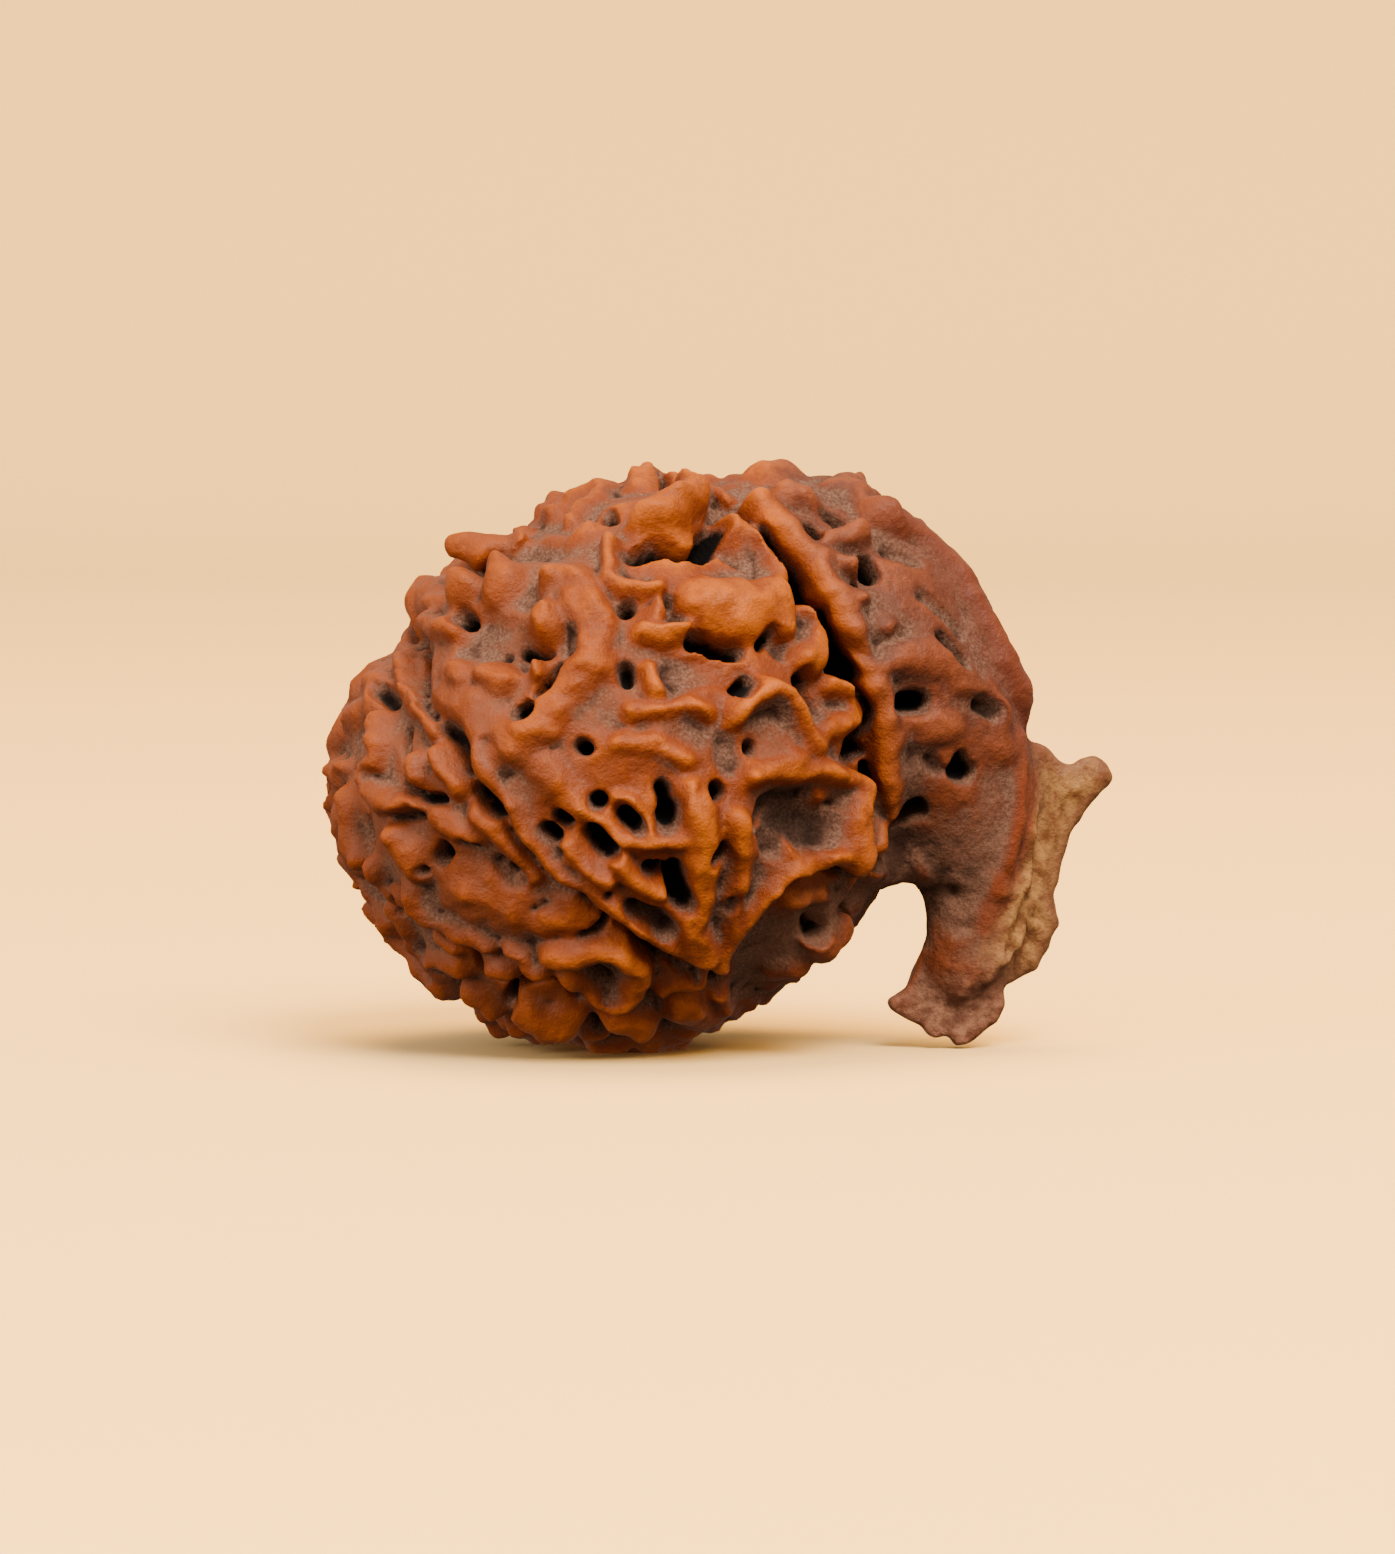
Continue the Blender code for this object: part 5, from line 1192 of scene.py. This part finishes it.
# %% Stored numbers
crease_shade_at, stand_at, pit_shade_at = map(attribute, ("crest", "stand", "pit"))
root_at, frill_at, rim_at, fold_at = map(attribute, ("root", "frill", "rim", "fold"))
tip_at, shade_at, worn_at = map(attribute, ("tip", "shade", "worn"))
foot_at, edge_at = map(attribute, ("foot", "edge"))

# %% [markdown]
# Colour runs from dark in the low places, which is painted shade, through red-brown, to orange on the rubbed
# crests. Two noises disturb the height, so that the bands of colour don't look like lines on a map.

# %% Height for the colours
wobble = times(minus(mottle, 0.5), 0.5)
speckle = times(minus(flecks, 0.5), 0.55)
height = plus(times(stand_at, 1.1), 0.3)
height = plus(plus(height, wobble), speckle)

# %% [markdown]
# The trunk's wood is redder and less rubbed than the body's. A thin brown film dulls the wood that is worn
# least.

# %% Wood colour
# The dark end of each ramp, where the surface lies low, is painted shade; the orange end is the rubbed
# crests.
wood_and_hollow_shade = mixed(ramp(height, -0.3, 0.4), linear("#42180E"), linear("#843A16"))
wood_and_hollow_shade = mixed(times(ramp(height, 0.35, 0.95), worn_at), wood_and_hollow_shade, linear("#C0600F"))
root_wood_and_hollow_shade = mixed(ramp(height, -0.15, 0.35), linear("#381D16"), linear("#5E3021"))
root_wood_and_hollow_shade = mixed(ramp(height, 0.3, 0.9), root_wood_and_hollow_shade, linear("#924A28"))
wood_and_hollow_shade = mixed(root_at, wood_and_hollow_shade, root_wood_and_hollow_shade)
wood_and_hollow_shade = mixed(times(ramp(blotches, 0.45, 0.7), 0.35), wood_and_hollow_shade, linear("#703014"))
film_level = minus(plus(height, times(worn_at, 0.5)), dust_patch)
wood_and_hollow_shade = mixed(ramp(film_level, 0.55, -0.25, 0.0, 0.6), wood_and_hollow_shade, linear("#86523A"))

# %% [markdown]
# Dust gathers where the surface lies low and where the trunk is sheltered.

# %% Dust
patchy = times(minus(dust_patch, 0.5), 0.9)
grainy = times(minus(dust_grain, 0.5), 0.4)
sheltered = plus(times(root_at, 0.2), times(tip_at, 0.45))
sheltered = plus(sheltered, 0.12)
lowness = minus(sheltered, times(stand_at, 2.8))
dust_level = plus(plus(lowness, patchy), grainy)
dust_share = ramp(dust_level, -0.15, 0.6, 0.0, 0.9)
dust = mixed(ramp(dust_grain, 0.3, 0.75), linear("#553A2E"), linear("#8C6755"))
dust = mixed(times(tip_at, 0.45), dust, linear("#8E624B"))
surface_colour = mixed(dust_share, wood_and_hollow_shade, dust)

# %% [markdown]
# Each region then gets its own colour: painted shade in the trunk's bend, tan wood on the frill and
# pink-brown wood on the foot.

# %% Wood of the regions
frill_wood = mixed(ramp(dust_patch, 0.35, 0.65), linear("#7C4C27"), linear("#BE884E"))
# Painted shade: the trunk's bend gets dark mottled patches, where shade falls.
shade_patch = minus(dust_patch, stand_at)
shade_share = times(shade_at, ramp(shade_patch, 0.3, 0.6, 0.1, 0.85))
surface_colour = mixed(shade_share, surface_colour, linear("#3A231A"))
foot_wood = mixed(ramp(dust_patch, 0.35, 0.65), linear("#6A4231"), linear("#A8745A"))
regions = [
    (frill_at, 0.85, frill_wood), (foot_at, 0.8, foot_wood), (edge_at, 0.7, linear("#7A4A38")),
    (rim_at, 0.6, linear("#703524")), (fold_at, 0.6, linear("#8A3D20")),
]
for place_at, strength, region_wood in regions:
    surface_colour = mixed(times(place_at, strength), surface_colour, region_wood)

# %% [markdown]
# Painted shade in the creases and painted black shadow in the pits come last, so they darken whatever wood
# they cut.

# %% Creases and pits
# Painted shade: fine creases, found by `crest`, are darkened.
surface_colour = mixed(ramp(crease_shade_at, -0.035, -0.13, 0.0, 0.85), surface_colour, linear("#2A140D"))
# Painted shadow: deep pits are turned near black.
surface_colour = mixed(ramp(pit_shade_at, 0.35, 0.9), surface_colour, linear("#0D0705"))
links.new(surface_colour, shader.inputs["Base Color"])

# %% [markdown]
# Rubbed crests have a roughness of about 0.45, and dusty hollows are near 0.9. Pores and dust are too fine
# for the mesh, so a bump of 0.13 mm and one of 0.06 mm stand for them.

# %% Shine
RUBBED, DUSTY = 0.45, 0.9
PORE_DEPTH, DUST_DEPTH = 0.13, 0.06
links.new(ramp(dust_share, 0.0, 0.5, RUBBED, DUSTY), shader.inputs["Roughness"])
shader.inputs["IOR"].default_value = 1.5
shader.inputs["Specular IOR Level"].default_value = 0.2
unevenness = add("ShaderNodeBump", {"Height": pores, "Strength": 0.75, "Distance": PORE_DEPTH * MM})
dust_bump = {"Height": dust_grain, "Strength": 0.5, "Distance": DUST_DEPTH * MM}
bump = add("ShaderNodeBump", {**dust_bump, "Normal": unevenness.outputs["Normal"]})
links.new(bump.outputs["Normal"], shader.inputs["Normal"])
print("finish:", material.name, "with", len(nodes), "nodes")

# %% [markdown]
# The finished skin takes the place of the plain seed and moves with it.

# %% The skin in its place
mesh.materials.clear()
mesh.materials.append(material)
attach(seed, "root")
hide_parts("seed")

# %% [markdown]
# ## The table, the light and the camera
#
# The seed lies on a pale cream sheet that sweeps up behind it, so no line shows where floor and wall meet.
# The sheet throws no light back, because its colour would make the seed's underside too orange.

# %% Cream paper
SHEET = linear("#EDCE90")
sheet_material = bpy.data.materials.new("cream paper")
sheet_material.use_nodes = True
sheet_shader = sheet_material.node_tree.nodes["Principled BSDF"]
sheet_shader.inputs["Base Color"].default_value = SHEET
sheet_shader.inputs["Roughness"].default_value = 0.9
sheet_shader.inputs["Specular IOR Level"].default_value = 0.2

# %% [markdown]
# The sheet is one profile drawn wide: flat, then a quarter circle, then upright.

# %% Backdrop
WIDE, NEAR, FAR, SWEEP, TALL = 1.2, -0.5, 0.35, 0.12, 0.7
turns = [math.radians(degrees) for degrees in range(6, 91, 6)]
profile = [(NEAR, 0.0), (FAR, 0.0)]
profile += [(FAR + SWEEP * math.sin(turn), SWEEP * (1 - math.cos(turn))) for turn in turns]
profile.append((FAR + SWEEP, TALL))
corners = [(x, y, z) for y, z in profile for x in (-WIDE / 2, WIDE / 2)]
strips = [(2 * i, 2 * i + 1, 2 * i + 3, 2 * i + 2) for i in range(len(profile) - 1)]
sheet_mesh = bpy.data.meshes.new("backdrop")
sheet_mesh.from_pydata(corners, [], strips)
sheet_mesh.shade_smooth()
sheet_mesh.materials.append(sheet_material)
backdrop = mesh_object("backdrop", sheet_mesh, scene_collection)
backdrop.visible_diffuse = False
backdrop.visible_glossy = False
print("backdrop:", len(strips), "strips,", WIDE, "m wide")

# %% [markdown]
# The camera looks down by 4 degrees through a long lens, so the seed is drawn almost without perspective.

# %% Camera
PHOTO_TALL_MM = 57.95
PHOTO_CENTRE = (2.144, 10.105)
AWAY = 0.4
lens_data = bpy.data.cameras.new("camera")
lens_data.lens = lens_data.sensor_width * AWAY / (PHOTO_TALL_MM * MM)
lens_data.clip_start = 0.01
lens_data.clip_end = 5.0
camera = mesh_object("camera", lens_data, scene_collection)
target = (Vector((PHOTO_CENTRE[0], 0.0, 0.0)) + surface.up * PHOTO_CENTRE[1]) * MM
camera.location = target - surface.look * AWAY
camera.rotation_euler = surface.look.to_track_quat("-Z", "Y").to_euler()
bpy.context.scene.camera = camera
print("lens, mm:", round(lens_data.lens, 1))

# %% [markdown]
# Large lights close to a small object give soft shadows. The main one stands above and to the right of the
# camera, a weaker one fills from the left, and a faint one hangs overhead.

# %% Soft lights
def soft_light(name, place, size, watts, colour):
    data = bpy.data.lights.new(name, "AREA")
    data.shape = "SQUARE"
    data.size = size
    data.energy = watts
    data.color = linear(colour)[:3]
    lamp = mesh_object(name, data, scene_collection)
    lamp.location = place
    toward = Vector((0.0, 0.0, 0.01)) - Vector(place)
    lamp.rotation_euler = toward.to_track_quat("-Z", "Y").to_euler()
    return lamp


# Name, place in metres, width in metres, watts and colour.
LAMPS = [
    ("key", (0.12, -0.34, 0.42), 0.26, 4.5, "#FFF6E8"),
    ("fill", (-0.42, -0.34, 0.22), 0.35, 2.2, "#FFF2E2"),
    ("top", (0.0, 0.0, 0.55), 0.3, 0.9, "#FFF2E0"),
]
for lamp_settings in LAMPS:
    soft_light(*lamp_settings)

# %% [markdown]
# Two warm lights reach only the paper, as a studio's flagged lights do. They bring out its cream colour and
# leave the seed as it is.

# %% Lights for the paper
paper_only = bpy.data.collections.new("paper only")
paper_only.objects.link(backdrop)
for name, place, watts in (("paper key", (0.22, -0.30, 0.42), 6.0), ("paper top", (0.0, 0.10, 0.60), 9.0)):
    lamp = soft_light(name, place, 0.4, watts, "#FFBE30")
    lamp.light_linking.receiver_collection = paper_only

# %% [markdown]
# The room glows a little, more from above than from below. That keeps the underside of the seed dark.

# %% The room
world = bpy.data.worlds.new("room")
world.use_nodes = True
world_nodes = world.node_tree.nodes
direction = world_nodes.new("ShaderNodeTexCoord")
split = world_nodes.new("ShaderNodeSeparateXYZ")
glow = world_nodes.new("ShaderNodeMapRange")
world.node_tree.links.new(direction.outputs["Generated"], split.inputs[0])
world.node_tree.links.new(split.outputs["Z"], glow.inputs["Value"])
for key, value in {"From Min": -0.5, "From Max": 0.5, "To Min": 0.18, "To Max": 0.9}.items():
    glow.inputs[key].default_value = value
world.node_tree.links.new(glow.outputs["Result"], world_nodes["Background"].inputs["Strength"])
world_nodes["Background"].inputs["Color"].default_value = linear("#FFEBD2")
bpy.context.scene.world = world
